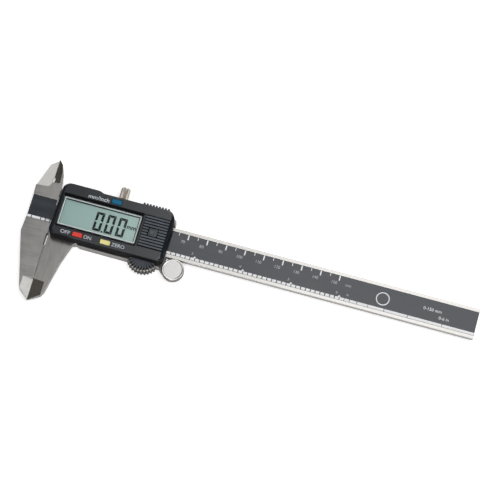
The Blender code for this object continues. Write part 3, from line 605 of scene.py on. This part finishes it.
def lettering(shape, words, place, cap, z, bolder=0.0, widen=1.0):
    """Adds raised print to the bmesh, its middle line at the place and its capitals cap high."""
    curve = bpy.data.curves.new("lettering", "FONT")
    curve.body = words
    curve.size = cap / CAPITAL_SHARE
    curve.align_x = "CENTER"
    curve.offset = bolder
    curve.extrude = INK / 2
    curve.resolution_u = 6
    item = placed("lettering", curve)
    mesh = evaluated(item)
    moved = Matrix.Translation((place[0], place[1] - cap / 2, z))
    mesh.transform(moved @ Matrix.Diagonal((widen, 1, 1, 1)))
    shape.from_mesh(mesh)
    bpy.data.objects.remove(item)
    bpy.data.meshes.remove(mesh)


def printed(shape, outline, z):
    """Adds a flat patch of ink with the outline, its middle layer at z."""
    loft(shape, [[(x, y, height) for x, y in outline] for height in (z - INK / 2, z + INK / 2)])


# ---------------- beam


def make_beam(mats):
    refined(mats, "beam", "beam_plate", "beam_steel", 0.14, facet=6)
    refined(mats, "scale_strip", "sensing_strip", "board_green", 0.05)
    refined(mats, "scale_label", "scale_film", "film", 0.04)
    refined(mats, "end_stop", "stop_plate", "slider_steel", 0.15)
    for number in (1, 2):
        refined(mats, f"end_stop_screw_{number}", f"stop_screw_{number}", "screw_steel", 0.05)


def inch_band(shape, z):
    """White blocks a tenth of an inch apart, then longer and longer ones to the beam's end."""
    tenth = INCH / 10
    edges = [BAND_START - BAND_GAP, -10.8, -5.85, -3.4, -0.85]
    edges += [k * tenth for k in range(1, 62)]
    step = BAND_STEP
    while edges[-1] < BEAM_END:
        edges.append(edges[-1] + step)
        step *= BAND_STRETCH
    for left, right in zip(edges, edges[1:]):
        gap = BAND_GAP if right <= 6 * INCH + tenth else BAND_FINE_GAP
        ends = (max(left + gap / 2, BAND_START), min(right - gap / 2, BEAM_END - 0.25))
        if ends[1] > ends[0]:
            printed(shape, rectangle(ends, (BAND_LOW, BAND_TOP)), z)


def make_scale_print(mats):
    """Ticks and numbers of both scales, as ink on the film."""
    z = mm_box("scale_label")[1].z + INK / 2
    marks = bmesh.new()
    for place in range(0, 155, 5):
        deep, wide = (TICK_LONG, TICK_WIDE) if place % 10 == 0 else (TICK_SHORT, TICK_FINE)
        printed(marks, rectangle((place - wide, place + wide), (TICK_TOP - deep, TICK_TOP)), z)
    inch_band(marks, z)
    for number in range(1, 7):
        x = number * INCH - 0.3
        foot = BAND_TOP + 0.05
        tip = (x, BAND_TOP + POINTER_TALL)
        printed(marks, [(x - POINTER_HALF, foot), (x + POINTER_HALF, foot), tip], z)
    low, high, inner = z - INK / 2, z + INK / 2, MARK_RADIUS - MARK_STROKE
    x, y = MARK_CENTRE
    ring = [
        [(x + reach * math.cos(t), y + reach * math.sin(t), height)
         for t in (math.tau * k / 48 for k in range(48))]
        for reach, height in (
            (MARK_RADIUS, low), (MARK_RADIUS, high), (inner, high), (inner, low), (MARK_RADIUS, low))
    ]
    loft(marks, ring, closed=False)
    settle(finished("scale_marks", marks, mats["ink_white"]), "beam")

    numbers = bmesh.new()
    for number in SCALE_NUMBERS:
        lettering(numbers, str(number), (number - 2.3, 2.1), 1.6, z)
    lettering(numbers, "mm", (155.2, 2.2), 1.5, z)
    for number in range(1, 7):
        lettering(numbers, str(number), (number * INCH - 2.0, -2.7), 1.45, z)
    lettering(numbers, "in", (156.0, -2.7), 1.35, z)
    settle(finished("scale_numbers", numbers, mats["ink_grey"]), "beam")

    words = bmesh.new()
    lettering(words, "0-150 mm", (199.6, 1.3), 1.7, z)
    lettering(words, "0-6 in", (206.2, -1.9), 1.7, z)
    settle(finished("range_print", words, mats["ink_white"]), "beam")


# ---------------- slider


def make_slider_plate(mats):
    plate = refined(mats, "slider_frame", "slider_plate", "slider_steel", 0.13, facet=6)
    # Painted shade: the upright walls between the thumb rest's teeth get a darker steel
    plate.data.materials.append(mats["tooth_wall_shade_steel"])
    for face in plate.data.polygons:
        place = (plate.matrix_basis @ face.center - ORIGIN) / MM
        if abs(face.normal.z) < 0.5 and place.y < TEETH_TOP and TEETH_X[0] < place.x < TEETH_X[1]:
            face.material_index = 1
    refined(mats, "back_label", "back_film", "film", 0.04)
    refined(mats, "gib_strip", "gib_bar", "brass", 0.08)
    refined(mats, "depth_rod", "depth_blade", "beam_steel", 0.08)
    for number in (1, 2):
        refined(mats, f"gib_screw_{number}", f"gib_set_screw_{number}", "screw_steel", 0.05)
        refined(mats, f"rod_screw_{number}", f"rod_foot_screw_{number}", "screw_steel", 0.05)
    for number in (1, 2, 3, 4):
        refined(mats, f"housing_screw_{number}", f"shell_screw_{number}", "screw_steel", 0.06)


def window_opening():
    """The housing's opening for the display window, as its x and its y."""
    low, high = mm_box("display_window")
    return grown((low.x, high.x), WINDOW_GAP), grown((low.y, high.y), WINDOW_GAP)


def pocket(xs, ys, low, chamfer=0.0, radius=0.3, top=HOUSE_FACE):
    """A cutter for an opening in the face, with a slope round its upper edge."""
    sections = [(0, low), (0, top - chamfer), (2 * chamfer, top + chamfer), (2 * chamfer, top + PAST)]
    if not chamfer:
        sections = [(0, low), (0, top + PAST)]
    rings = []
    for by, z in sections:
        outline = rounded(rectangle(grown(xs, by), grown(ys, by)), radius + by, 3)
        rings.append([(x, y, z) for x, y in outline])
    return loft(bmesh.new(), rings)


def house_outline():
    """The shell's outline, with the shallow step in its top edge and its corners cut."""
    low, high = mm_box("housing")
    top_left = 14.8
    top = 13.9
    return [
        (low.x, -11.9), (low.x + 1.6, -13.6), (high.x - 1.4, -13.6), (high.x, -12.2),
        (high.x, top - 2.6), (high.x - 2.3, top), (22.3, top), (20.4, top_left),
        (low.x + 3.5, top_left), (low.x + 0.8, 12.6),
    ]


def make_shell(mats):
    """The hollow shell with its openings, ribs, thumb pad and screw bosses, with painted shade on its side
    walls and thumb pad and a painted highlight on the pad's rib tops.
    """
    outline = rounded(house_outline(), 1.5, 5)
    profile = [
        (0.15, 0.15, 0.1), (0, 0, 0.3), (0, 0, 6.75), (0.05, 0.02, 6.98), (0.22, 0.08, 7.18),
        (1.15, 0.38, 7.86), (1.4, 0.47, 8.02), (1.7, 0.65, HOUSE_FACE),
    ]
    rings = [[(x, y, z) for x, y in shrunk(outline, end, side)] for end, side, z in profile]
    shell = finished("housing_shell", loft(bmesh.new(), rings), mats["housing_black"])
    cover_low, cover_high = mm_box("battery_cover")
    bay = (cover_low.x - 0.1, cover_high.x + COVER_EXIT)
    hollow = [[(x, y, z) for x, y in shrunk(outline, WALL, WALL)] for z in (-1, FACE_UNDER)]
    cuts = [
        loft(bmesh.new(), hollow),
        pocket(SURROUND_X, SURROUND_Y, HOUSE_FACE - SURROUND_DEEP, SURROUND_SLOPE),
        pocket(*window_opening(), 4, 0, 0.2),
        pocket(bay, COVER_BAY, 5.8, 0.1, 0.15),
        pocket(bay, COVER_TRACKS, 5.7, 0, 0.15, FACE_UNDER - 0.05 - PAST),
    ]
    for cap in ("button_mm_inch", "button_on_off", "button_zero"):
        low, high = mm_box(cap)
        half = (high.x - low.x) / 2 - 0.5
        middle = middle_of(low, high)[0]
        cuts.append(pocket((middle - half, middle + half), grown((low.y, high.y), 0.12), 5, 0.15))
    cut(shell, cuts)
    for make_detail in (make_face_line, make_top_ribs, make_thumb_pad, make_bosses):
        joined(shell, make_detail(mats))
    # Painted shade on side walls below WALL_TOP and on the thumb pad; painted highlight on the pad's rib
    # tops
    shell.data.materials.append(mats["groove_and_wall_shade_black"])
    shell.data.materials.append(mats["rib_top_highlight_grey"])
    for face in shell.data.polygons:
        height = (shell.location.z + face.center.z - ORIGIN.z) / MM
        across = (shell.location.y + face.center.y - ORIGIN.y) / MM
        if across < PAD_TOP and 1.5 < height < 2.1:
            face.material_index = 2
        elif across < PAD_TOP or (height < WALL_TOP and abs(face.normal.z) < 0.6):
            face.material_index = 1
    settle(shell, "slider", ["housing"])


def make_face_line(mats):
    """The thin raised line between the display and the battery cover."""
    shape = bmesh.new()
    outline = rounded(rectangle((45.78, 46.0), (-8.9, 8.9)), 0.1, 2)
    raised(shape, outline, HOUSE_FACE - 0.1, HOUSE_FACE + 0.1, 0.06)
    return finished("face_line", shape, mats["housing_black"])


def make_top_ribs(mats):
    """Upright grip ribs on the top edge, over the battery's end, on a low land."""
    shape = bmesh.new()
    high = mm_box("housing")[1].y
    start, end, count = 43.2, 57.7, 9
    pitch = (end - start) / count
    land = [(start - 0.9, high - 2.2), (end + 1.2, high - 2.2), (end, high - 0.75), (start, high - 0.75)]
    raised(shape, land, 1.2, 6.4, 0.3)
    for k in range(count):
        middle = start + (k + 0.5) * pitch
        half = 0.28 * pitch
        rib = rectangle((middle - half, middle + half), (high - 1.5, high))
        raised(shape, rounded(rib, 0.3, 3), 1.3, 6.5, 0.25)
    return finished("top_ribs", shape, mats["housing_black"])


def make_thumb_pad(mats):
    """The ribbed pad in front of the steel thumb rest: a fan of ribs that end in its tooth gaps."""
    shape = bmesh.new()
    centre = Vector((50.6, -10.5))
    wall = -13.3
    land_reach, outer = 7.25, 8.05
    first, last, count = -149, -31, 10
    land = [tuple(centre + Vector((math.cos(math.radians(a)), math.sin(math.radians(a)))) * land_reach)
            for a in range(first, last + 1, 4)]
    land += [(57.6, -13.2), (43.2, -13.2)]
    raised(shape, land, 0.1, 1.2, 0.2)
    for k in range(count + 1):
        angle = math.radians(first + k * (last - first) / count)
        along = Vector((math.cos(angle), math.sin(angle)))
        across = Vector((-along.y, along.x))
        start = centre + along * ((centre.y - wall) / -along.y)
        shoulder = centre + along * (outer - 1.1)
        end = centre + along * outer
        if start.y < shoulder.y + 0.4:
            continue
        rib = [start - across * 0.42, shoulder - across * 0.56, end - across * 0.24,
               end + across * 0.24, shoulder + across * 0.56, start + across * 0.42]
        raised(shape, rounded([tuple(p) for p in rib], 0.2, 3), 0.1, 1.95, 0.16)
    return finished("thumb_pad", shape, mats["housing_black"])


def make_bosses(mats):
    """The blind bosses under the face that take the housing's screws."""
    shape = bmesh.new()
    bore, radius, foot, top = 1.05, 1.75, 0.3, 7.4
    profile = [(0, foot + 4), (bore, foot + 4), (bore, foot), (radius, foot), (radius, top), (0, top)]
    for number in (1, 2, 3, 4):
        low, high = mm_box(f"housing_screw_{number}")
        turned(shape, profile, (*middle_of(low, high), 0), 32)
    return finished("bosses", shape, mats["housing_black"])


def make_shell_print(mats):
    """The buttons' plain labels, as ink on the face."""
    z = HOUSE_FACE + INK / 2
    shape = bmesh.new()
    lettering(shape, "mm/inch", (21.1, 10.5), 2.1, z, 0.02, 1.12)
    lettering(shape, "OFF", (9.6, -11.4), 1.95, z, 0.0, 1.1)
    lettering(shape, "ON", (21.4, -11.4), 1.95, z)
    lettering(shape, "ZERO", (37.6, -11.5), 1.95, z)
    settle(finished("housing_print", shape, mats["ink_label"]), "slider")


# ---------------- display


def ring_plate(shape, xs, ys, zs, wide, slope=0.1):
    """Adds a rectangular frame with its upper edges drawn in by slope."""
    outer = rounded(rectangle(xs, ys), 0.35, 3)
    inner = rounded(rectangle(grown(xs, -wide), grown(ys, -wide)), 0.2, 3)
    sections = [
        (outer, 0, zs[0]), (outer, 0, zs[1] - slope), (outer, slope, zs[1]),
        (inner, -slope, zs[1]), (inner, 0, zs[1] - slope), (inner, 0, zs[0]), (outer, 0, zs[0]),
    ]
    loft(shape, [[(x, y, z) for x, y in shrunk(ring, by, by)] for ring, by, z in sections], closed=False)
    bmesh.ops.remove_doubles(shape, verts=shape.verts, dist=0.001)


def make_display(mats):
    """The window, the crystal cell, the silver frame, the black edges round and under it, and a painted
    shadow line round the cell inside the frame.
    """
    window_low, window_high = mm_box("display_window")
    window = refined(mats, "display_window", "window_pane", "window_clear", 0.1)
    window.visible_shadow = False
    refined(mats, "display_glass", "crystal_cell", "cell_green", 0.1)
    bezel_low, bezel_high = mm_box("display_bezel")
    shape = bmesh.new()
    ring_plate(shape, FRAME_X, FRAME_Y, (bezel_low.z, bezel_high.z), FRAME_WIDE)
    silver = finished("silver_frame", shape, mats["bezel_silver"])
    settle(silver, "slider", ["display_bezel"])

    shape = bmesh.new()
    ring_plate(shape, (window_low.x + 0.05, window_high.x - 0.05), (window_low.y + 0.05, FRAME_Y[1] + 0.02),
               (bezel_low.z, bezel_high.z - 0.2), 1.1, 0.03)
    settle(finished("black_mask", shape, mats["surround_black_and_shadow"]), "slider")

    # Painted shadow: a black line round the inside of the silver frame, widest along the top, where the
    # frame's shadow falls on the cell
    shape = bmesh.new()
    inner_x, inner_y = grown(FRAME_X, -FRAME_WIDE), grown(FRAME_Y, -FRAME_WIDE)
    z = bezel_low.z - 0.05
    for xs, ys in (
        (inner_x, (inner_y[1] - 0.55, inner_y[1] + 0.2)), (inner_x, (inner_y[0] - 0.2, inner_y[0] + 0.12)),
        ((inner_x[0] - 0.2, inner_x[0] + 0.16), inner_y), ((inner_x[1] - 0.12, inner_x[1] + 0.2), inner_y),
    ):
        printed(shape, rectangle(xs, ys), z)
    settle(finished("cell_shadow_line", shape, mats["surround_black_and_shadow"]), "slider")

    shape = bmesh.new()
    low = HOUSE_FACE - SURROUND_DEEP
    opening_x, opening_y = window_opening()
    outer_x, outer_y = grown(SURROUND_X, -SURROUND_SLOPE), grown(SURROUND_Y, -SURROUND_SLOPE)
    for xs, ys in (
        (outer_x, (opening_y[1], outer_y[1])), (outer_x, (outer_y[0], opening_y[0])),
        ((outer_x[0], opening_x[0]), opening_y), ((opening_x[1], outer_x[1]), opening_y),
    ):
        raised(shape, rectangle(xs, ys), low - 0.05, low + 0.08)
    settle(finished("black_surround", shape, mats["surround_black_and_shadow"]), "slider")


def zero_bars(left):
    """The six bars of a seven-segment 0, mitred at the corners: the lower three, then the upper three."""
    wide, tall = FIGURE_SIZE
    gap, stroke = FIGURE_GAP, FIGURE_STROKE
    middle = FIGURE_LOW + tall / 2
    bars = []
    for end in (-1, 1):
        y = middle + end * tall / 2
        inner = y - end * stroke
        bars.append([(left + gap, y), (left + wide - gap, y),
                     (left + wide - stroke - gap, inner), (left + stroke + gap, inner)])
        for x, inward in ((left, 1), (left + wide, -1)):
            bars.append([(x, y - end * gap), (x + inward * stroke, inner - end * gap),
                         (x + inward * stroke, middle + end * stroke / 2), (x, middle + end * gap)])
    return bars


def make_figures(mats):
    """The figures 0.00 and their unit, on the crystal cell."""
    z = mm_box("display_glass")[1].z + INK
    shape = bmesh.new()
    for left in FIGURE_X:
        for bar in zero_bars(left):
            printed(shape, [(x + FIGURE_LEAN * (y - FIGURE_LOW), y) for x, y in bar], z)
    point = FIGURE_X[0] + FIGURE_SIZE[0] + 0.4
    printed(shape, rectangle((point, point + 0.85), (FIGURE_LOW - 0.2, FIGURE_LOW + 0.7)), z)
    lettering(shape, "mm", (41.3, 0.25), 2.35, z, bolder=0.1)
    settle(finished("figures", shape, mats["segment_black"]), "slider")


# ---------------- inside the housing


def make_inner_pieces(mats):
    for number in (1, 2):
        refined(mats, f"contact_rubber_{number}", f"zebra_strip_{number}", "rubber_grey", 0.08)
    refined(mats, "circuit_board", "main_board", "board_green", 0.05)
    refined(mats, "chip", "chip_blob", "epoxy_black", 0.05)
    for key in ("mm_inch", "on_off", "zero"):
        refined(mats, f"key_dome_{key}", f"dome_{key}", "cell_steel", 0.03)
    refined(mats, "battery", "button_cell", "cell_steel", 0.08)
    refined(mats, "contact_minus", "leaf_minus", "brass", 0.04)
    refined(mats, "contact_plus", "leaf_plus", "brass", 0.04)


# ---------------- pieces that move on the slider


def make_button(mats, node_name, colour):
    """A cap with rounded edges and a slightly hollowed top, its flange and its stem."""
    low, high = mm_box(node_name)
    middle = (*middle_of(low, high), HOUSE_FACE)
    flange = 0.6
    half = ((high.x - low.x) / 2 - flange, (high.y - low.y) / 2)
    shape = bmesh.new()
    rings = []
    for by, z in ((0, 6.0), (0, high.z - 0.32), (0.07, high.z - 0.12), (0.2, high.z - 0.02),
                  (0.34, high.z), (0.6, high.z - 0.05), (0.95, high.z - 0.09)):
        xs = (middle[0] - half[0] + by, middle[0] + half[0] - by)
        ys = (middle[1] - half[1] + by, middle[1] + half[1] - by)
        rings.append([(x, y, z) for x, y in rounded(rectangle(xs, ys), max(0.45 - by, 0.08), 4)])
    loft(shape, rings)
    raised(shape, rectangle((low.x, high.x), grown((low.y, high.y), -0.02)), 5.95, 6.7, 0.1)
    stem = [(0, low.z), (0.55, low.z), (0.7, low.z + 0.15), (0.7, 6.1), (0, 6.1)]
    turned(shape, stem, (middle[0], middle[1], 0), 24)
    finish = f"button_{colour}"
    settle(finished(f"cap_{colour}", shape, mats[finish], middle), node_name, [node_name])


def make_cover(mats):
    """The battery cover: a sloped end like the shell's, tongues below, ribs and an arrow on top."""
    low, high = mm_box("battery_cover")
    half = 8.4
    groove = HOUSE_FACE - GROOVE_DEEP
    shape = bmesh.new()
    body = []
    for x, y_by, top in (
        (low.x, 0.1, HOUSE_FACE - 0.12), (low.x + 0.12, 0, HOUSE_FACE), (low.x + 0.62, 0, HOUSE_FACE),
        (low.x + 0.72, 0, groove), (high.x - 1.45, 0, groove), (high.x - 1.25, 0, HOUSE_FACE - 0.1),
        (high.x - 0.2, 0, 7.2), (high.x, 0.05, 6.95),
    ):
        side = half - y_by
        body.append([(x, -side, 6.6), (x, side, 6.6), (x, side, top - 0.1), (x, side - 0.1, top),
                     (x, -side + 0.1, top), (x, -side, top - 0.1)])
    loft(shape, body)
    for sign in (-1, 1):
        ys = sorted((sign * 7.5, sign * high.y))
        raised(shape, rectangle((low.x, high.x - 0.1), ys), low.z, 6.75, 0.1)
    first, last = low.x + 0.85, high.x - 1.3
    pitch = 2 * half / COVER_RIBS
    wide = 0.66 * pitch
    plain = (50.0, 55.2)
    for k in range(COVER_RIBS):
        y = -half + (k + 0.5) * pitch
        runs = [(first, last)] if abs(y) > pitch * 1.2 else [(first, plain[0]), (plain[1], last)]
        for start, end in runs:
            rib = rounded(rectangle((start, end), (y - wide / 2, y + wide / 2)), 0.3, 3)
            raised(shape, rib, groove - 0.1, HOUSE_FACE + COVER_RIB_HIGH, 0.14)
    pad = rounded(rectangle((plain[0] + 0.3, plain[1] - 0.3), (-1.35 * pitch, 1.35 * pitch)), 0.4, 3)
    raised(shape, pad, groove - 0.1, HOUSE_FACE + 0.05, 0.12)
    arrow = rounded([(51.4, -1.35), (54.1, 0.0), (51.4, 1.35)], 0.2, 3)
    raised(shape, arrow, HOUSE_FACE, HOUSE_FACE + COVER_RIB_HIGH, 0.1)
    cover = finished("cover_ribbed", shape, mats["housing_black"], (low.x, 0, HOUSE_FACE))
    # Painted highlight on the rib tops and the arrow, painted shade on the groove floor and the walls
    cover.data.materials.append(mats["groove_and_wall_shade_black"])
    cover.data.materials.append(mats["rib_top_highlight_grey"])
    for face in cover.data.polygons:
        rise = face.center.z / MM
        if rise > 0.2 and face.normal.z > 0.5:
            face.material_index = 2
        elif abs(rise + GROOVE_DEEP) < 0.02 or abs(face.normal.z) < 0.3:
            face.material_index = 1
    settle(cover, "battery_cover", ["battery_cover"])


def make_roller(mats):
    """The thumb roller: a turned face with a rim, fine straight teeth round its side, and its stem."""
    low, high = mm_box("thumb_roller")
    centre = (*middle_of(low, high), 0)
    radius = (high.x - low.x) / 2
    top, back = high.z, -3.95
    face = top - 0.04
    stem, foot = 1.4, low.z
    profile = [
        (0, face), (0.4, face), (0.8, face), (radius - 1.1, face), (radius - 0.98, top - 0.13),
        (radius - 0.82, face), (radius - 0.4, top), (radius - 0.25, top - 0.05),
        (radius - 0.08, top - 0.25), (radius, top - 0.5),
        (radius, back + 0.45), (radius - 0.3, back + 0.05), (radius - 0.6, back),
        (stem, back), (stem, -4.9), (stem - 0.4, -4.95), (stem - 0.4, -5.27), (stem, -5.27),
        (stem, foot + 0.08), (stem - 0.1, foot), (0, foot),
    ]
    shape = turned(bmesh.new(), profile, centre, 288, knurl=(9, 10, 72, 0.22))
    wheel = finished("roller_wheel", shape, mats["roller_nickel"], centre)
    # Painted shade: the roller's knurled side gets a darker nickel, for the shadow along it
    wheel.data.materials.append(mats["knurl_shade_nickel"])
    for polygon in wheel.data.polygons:
        if abs(polygon.normal.z) < 0.4:
            polygon.material_index = 1
    settle(wheel, "thumb_roller", ["thumb_roller"])
    refined(mats, "roller_clip", "stem_clip", "screw_steel", 0.04)


def make_lock(mats):
    """The lock screw: a slotted head with coarse straight teeth, a collar and its shank."""
    low, high = mm_box("lock_screw")
    centre = ((low.x + high.x) / 2, 16.0, (low.z + high.z) / 2)
    radius = (high.x - low.x) / 2
    tall, foot = high.y - centre[1], low.y - centre[1]
    profile = [
        (0, foot), (1.25, foot), (1.4, foot + 0.15), (1.4, -2.4), (1.7, -2.0), (1.7, 0), (radius - 0.3, 0),
        (radius - 0.05, 0.25), (radius, 0.5), (radius, tall - 0.75), (radius - 0.12, tall - 0.45),
        (radius - 0.45, tall - 0.1), (radius - 0.8, tall), (0, tall),
    ]
    shape = turned(bmesh.new(), profile, centre, 168, "Y", (8, 9, 24, 0.26))
    lock = finished("lock_knob", shape, mats["lock_nickel"], centre)
    slot = bmesh.new()
    half, deep, turn = 0.35, 3.4, 16
    outline = rectangle((-half, half), (high.y - deep, high.y + 5))
    reach = radius + 2
    loft(slot, [[(x, y, z) for x, y in outline] for z in (-reach, reach)])
    bmesh.ops.rotate(slot, verts=slot.verts, matrix=Matrix.Rotation(math.radians(turn), 3, "Y"))
    bmesh.ops.translate(slot, verts=slot.verts, vec=(centre[0], 0, centre[2]))
    cut(lock, [slot])
    settle(lock, "lock_screw", ["lock_screw"])
    refined(mats, "lock_pad", "lock_pad_disc", "brass", 0.06)


# ---------------- studio

# The room's light by direction, from far left (-1) to far right (1), with a warm wall on the left
ROOM = (
    (-1.0, 0.07), (-0.7, 0.12), (-0.5, 0.15), (-0.17, 0.17), (-0.143, 0.25), (-0.12, 1.1), (-0.105, 1.55),
    (-0.06, 1.6), (0.13, 1.45), (0.24, 1.2), (0.5, 1.1), (0.75, 0.1))
WARM_WALL = (1.0, 0.93, 0.85)
WALL_END = -0.3
BACKDROP = (0.7, 0.7, 0.7)
FLOOR_HALF = 3.0

# The camera, as fitted to the photo's perspective, with its distance in metres
LENS, SENSOR = 160.9, 36
AIM = (101.98, 6.99, 0)
DISTANCE = 1.1408
AZIMUTH, ELEVATION, ROLL = 13.54, 72.09, 2.02


def softbox(name, place, size, power):
    """A white rectangular light, in metres and watts, that faces the middle of the frame."""
    light = bpy.data.lights.new(name, "AREA")
    light.shape = "RECTANGLE"
    light.size, light.size_y = size
    light.energy = power
    item = placed(name, light)
    item.location = place
    item.rotation_euler = (-Vector(place)).to_track_quat("-Z", "Y").to_euler()


def make_floor():
    """A white sweep, lit from below like a light table where the camera looks at it."""
    material, tree, shader = new_material("floor_white", (0.8, 0.8, 0.8), 0.6, Emission_Color=(1, 1, 1, 1))
    mottled = noise(tree, (9, 9, 9), 2.0)
    tree.links.new(mixed(tree, mottled, (0.76, 0.76, 0.76), (0.8, 0.8, 0.8)), shader.inputs["Base Color"])
    path = node(tree, "ShaderNodeLightPath")
    table = ranged(tree, path.outputs["Is Camera Ray"], 0, 0.55, 0, 1)
    tree.links.new(table, shader.inputs["Emission Strength"])
    shape = bmesh.new()
    sides = (-FLOOR_HALF, FLOOR_HALF)
    shape.faces.new([shape.verts.new((x, y, 0)) for x, y in rectangle(sides, sides)])
    floor = meshed("floor", shape, material)


def make_world():
    """A studio room: a wide bright ceiling from just left of overhead to the right, dark walls."""
    world = bpy.data.worlds.new("room")
    bpy.context.scene.world = world
    world.use_nodes = True
    tree = world.node_tree
    background = tree.nodes["Background"]
    direction = coordinates(tree, "Generated")
    ramp = node(tree, "ShaderNodeValToRGB")
    tree.links.new(ranged(tree, direction["X"], 0, 1, -1, 1), ramp.inputs["Fac"])
    stops = ramp.color_ramp.elements
    brightest = max(light for _, light in ROOM)
    while len(stops) < len(ROOM):
        stops.new(0.5)
    for stop, (side, light) in zip(stops, ROOM):
        stop.position = (side + 1) / 2
        level = light / brightest
        tint = WARM_WALL if side < WALL_END else (1, 1, 1)
        stop.color = (*(level * share for share in tint), 1)
    path = node(tree, "ShaderNodeLightPath")
    seen = mixed(tree, path.outputs["Is Camera Ray"], ramp.outputs["Color"], BACKDROP)
    tree.links.new(seen, background.inputs["Color"])
    background.inputs["Strength"].default_value = brightest


def make_lights():
    """A key light on the right and a long strip on each side of the beam."""
    softbox("key", (0.55, -0.1, 0.75), (0.45, 0.6), 1.5)
    softbox("front_strip", (-0.1, -0.75, 0.8), (1.0, 0.12), 1.3)
    softbox("back_strip", (-0.1, 1.0, 0.75), (1.0, 0.12), 1.3)


def make_camera():
    """A long lens, high above the near side and a little to the right, with a slight roll."""
    data = bpy.data.cameras.new("camera")
    data.lens = LENS
    data.sensor_width = SENSOR
    camera = placed("camera", data)
    target = ORIGIN + Vector(AIM) * MM
    azimuth, elevation, roll = (math.radians(angle) for angle in (AZIMUTH, ELEVATION, ROLL))
    flat = math.cos(elevation)
    back = Vector((math.sin(azimuth) * flat, -math.cos(azimuth) * flat, math.sin(elevation)))
    turn = (-back).to_track_quat("-Z", "Y").to_matrix() @ Matrix.Rotation(roll, 3, "Z")
    camera.matrix_world = Matrix.Translation(target + back * DISTANCE) @ turn.to_4x4()
    bpy.context.scene.camera = camera
    bpy.context.scene.view_settings.view_transform = "Standard"


def main():
    make_camera()
    make_world()
    make_lights()
    make_floor()
    mats = make_materials()
    make_beam(mats)
    make_scale_print(mats)
    make_slider_plate(mats)
    make_shell(mats)
    make_shell_print(mats)
    make_display(mats)
    make_figures(mats)
    make_inner_pieces(mats)
    make_button(mats, "button_mm_inch", "blue")
    make_button(mats, "button_on_off", "red")
    make_button(mats, "button_zero", "yellow")
    make_cover(mats)
    make_roller(mats)
    make_lock(mats)


main()
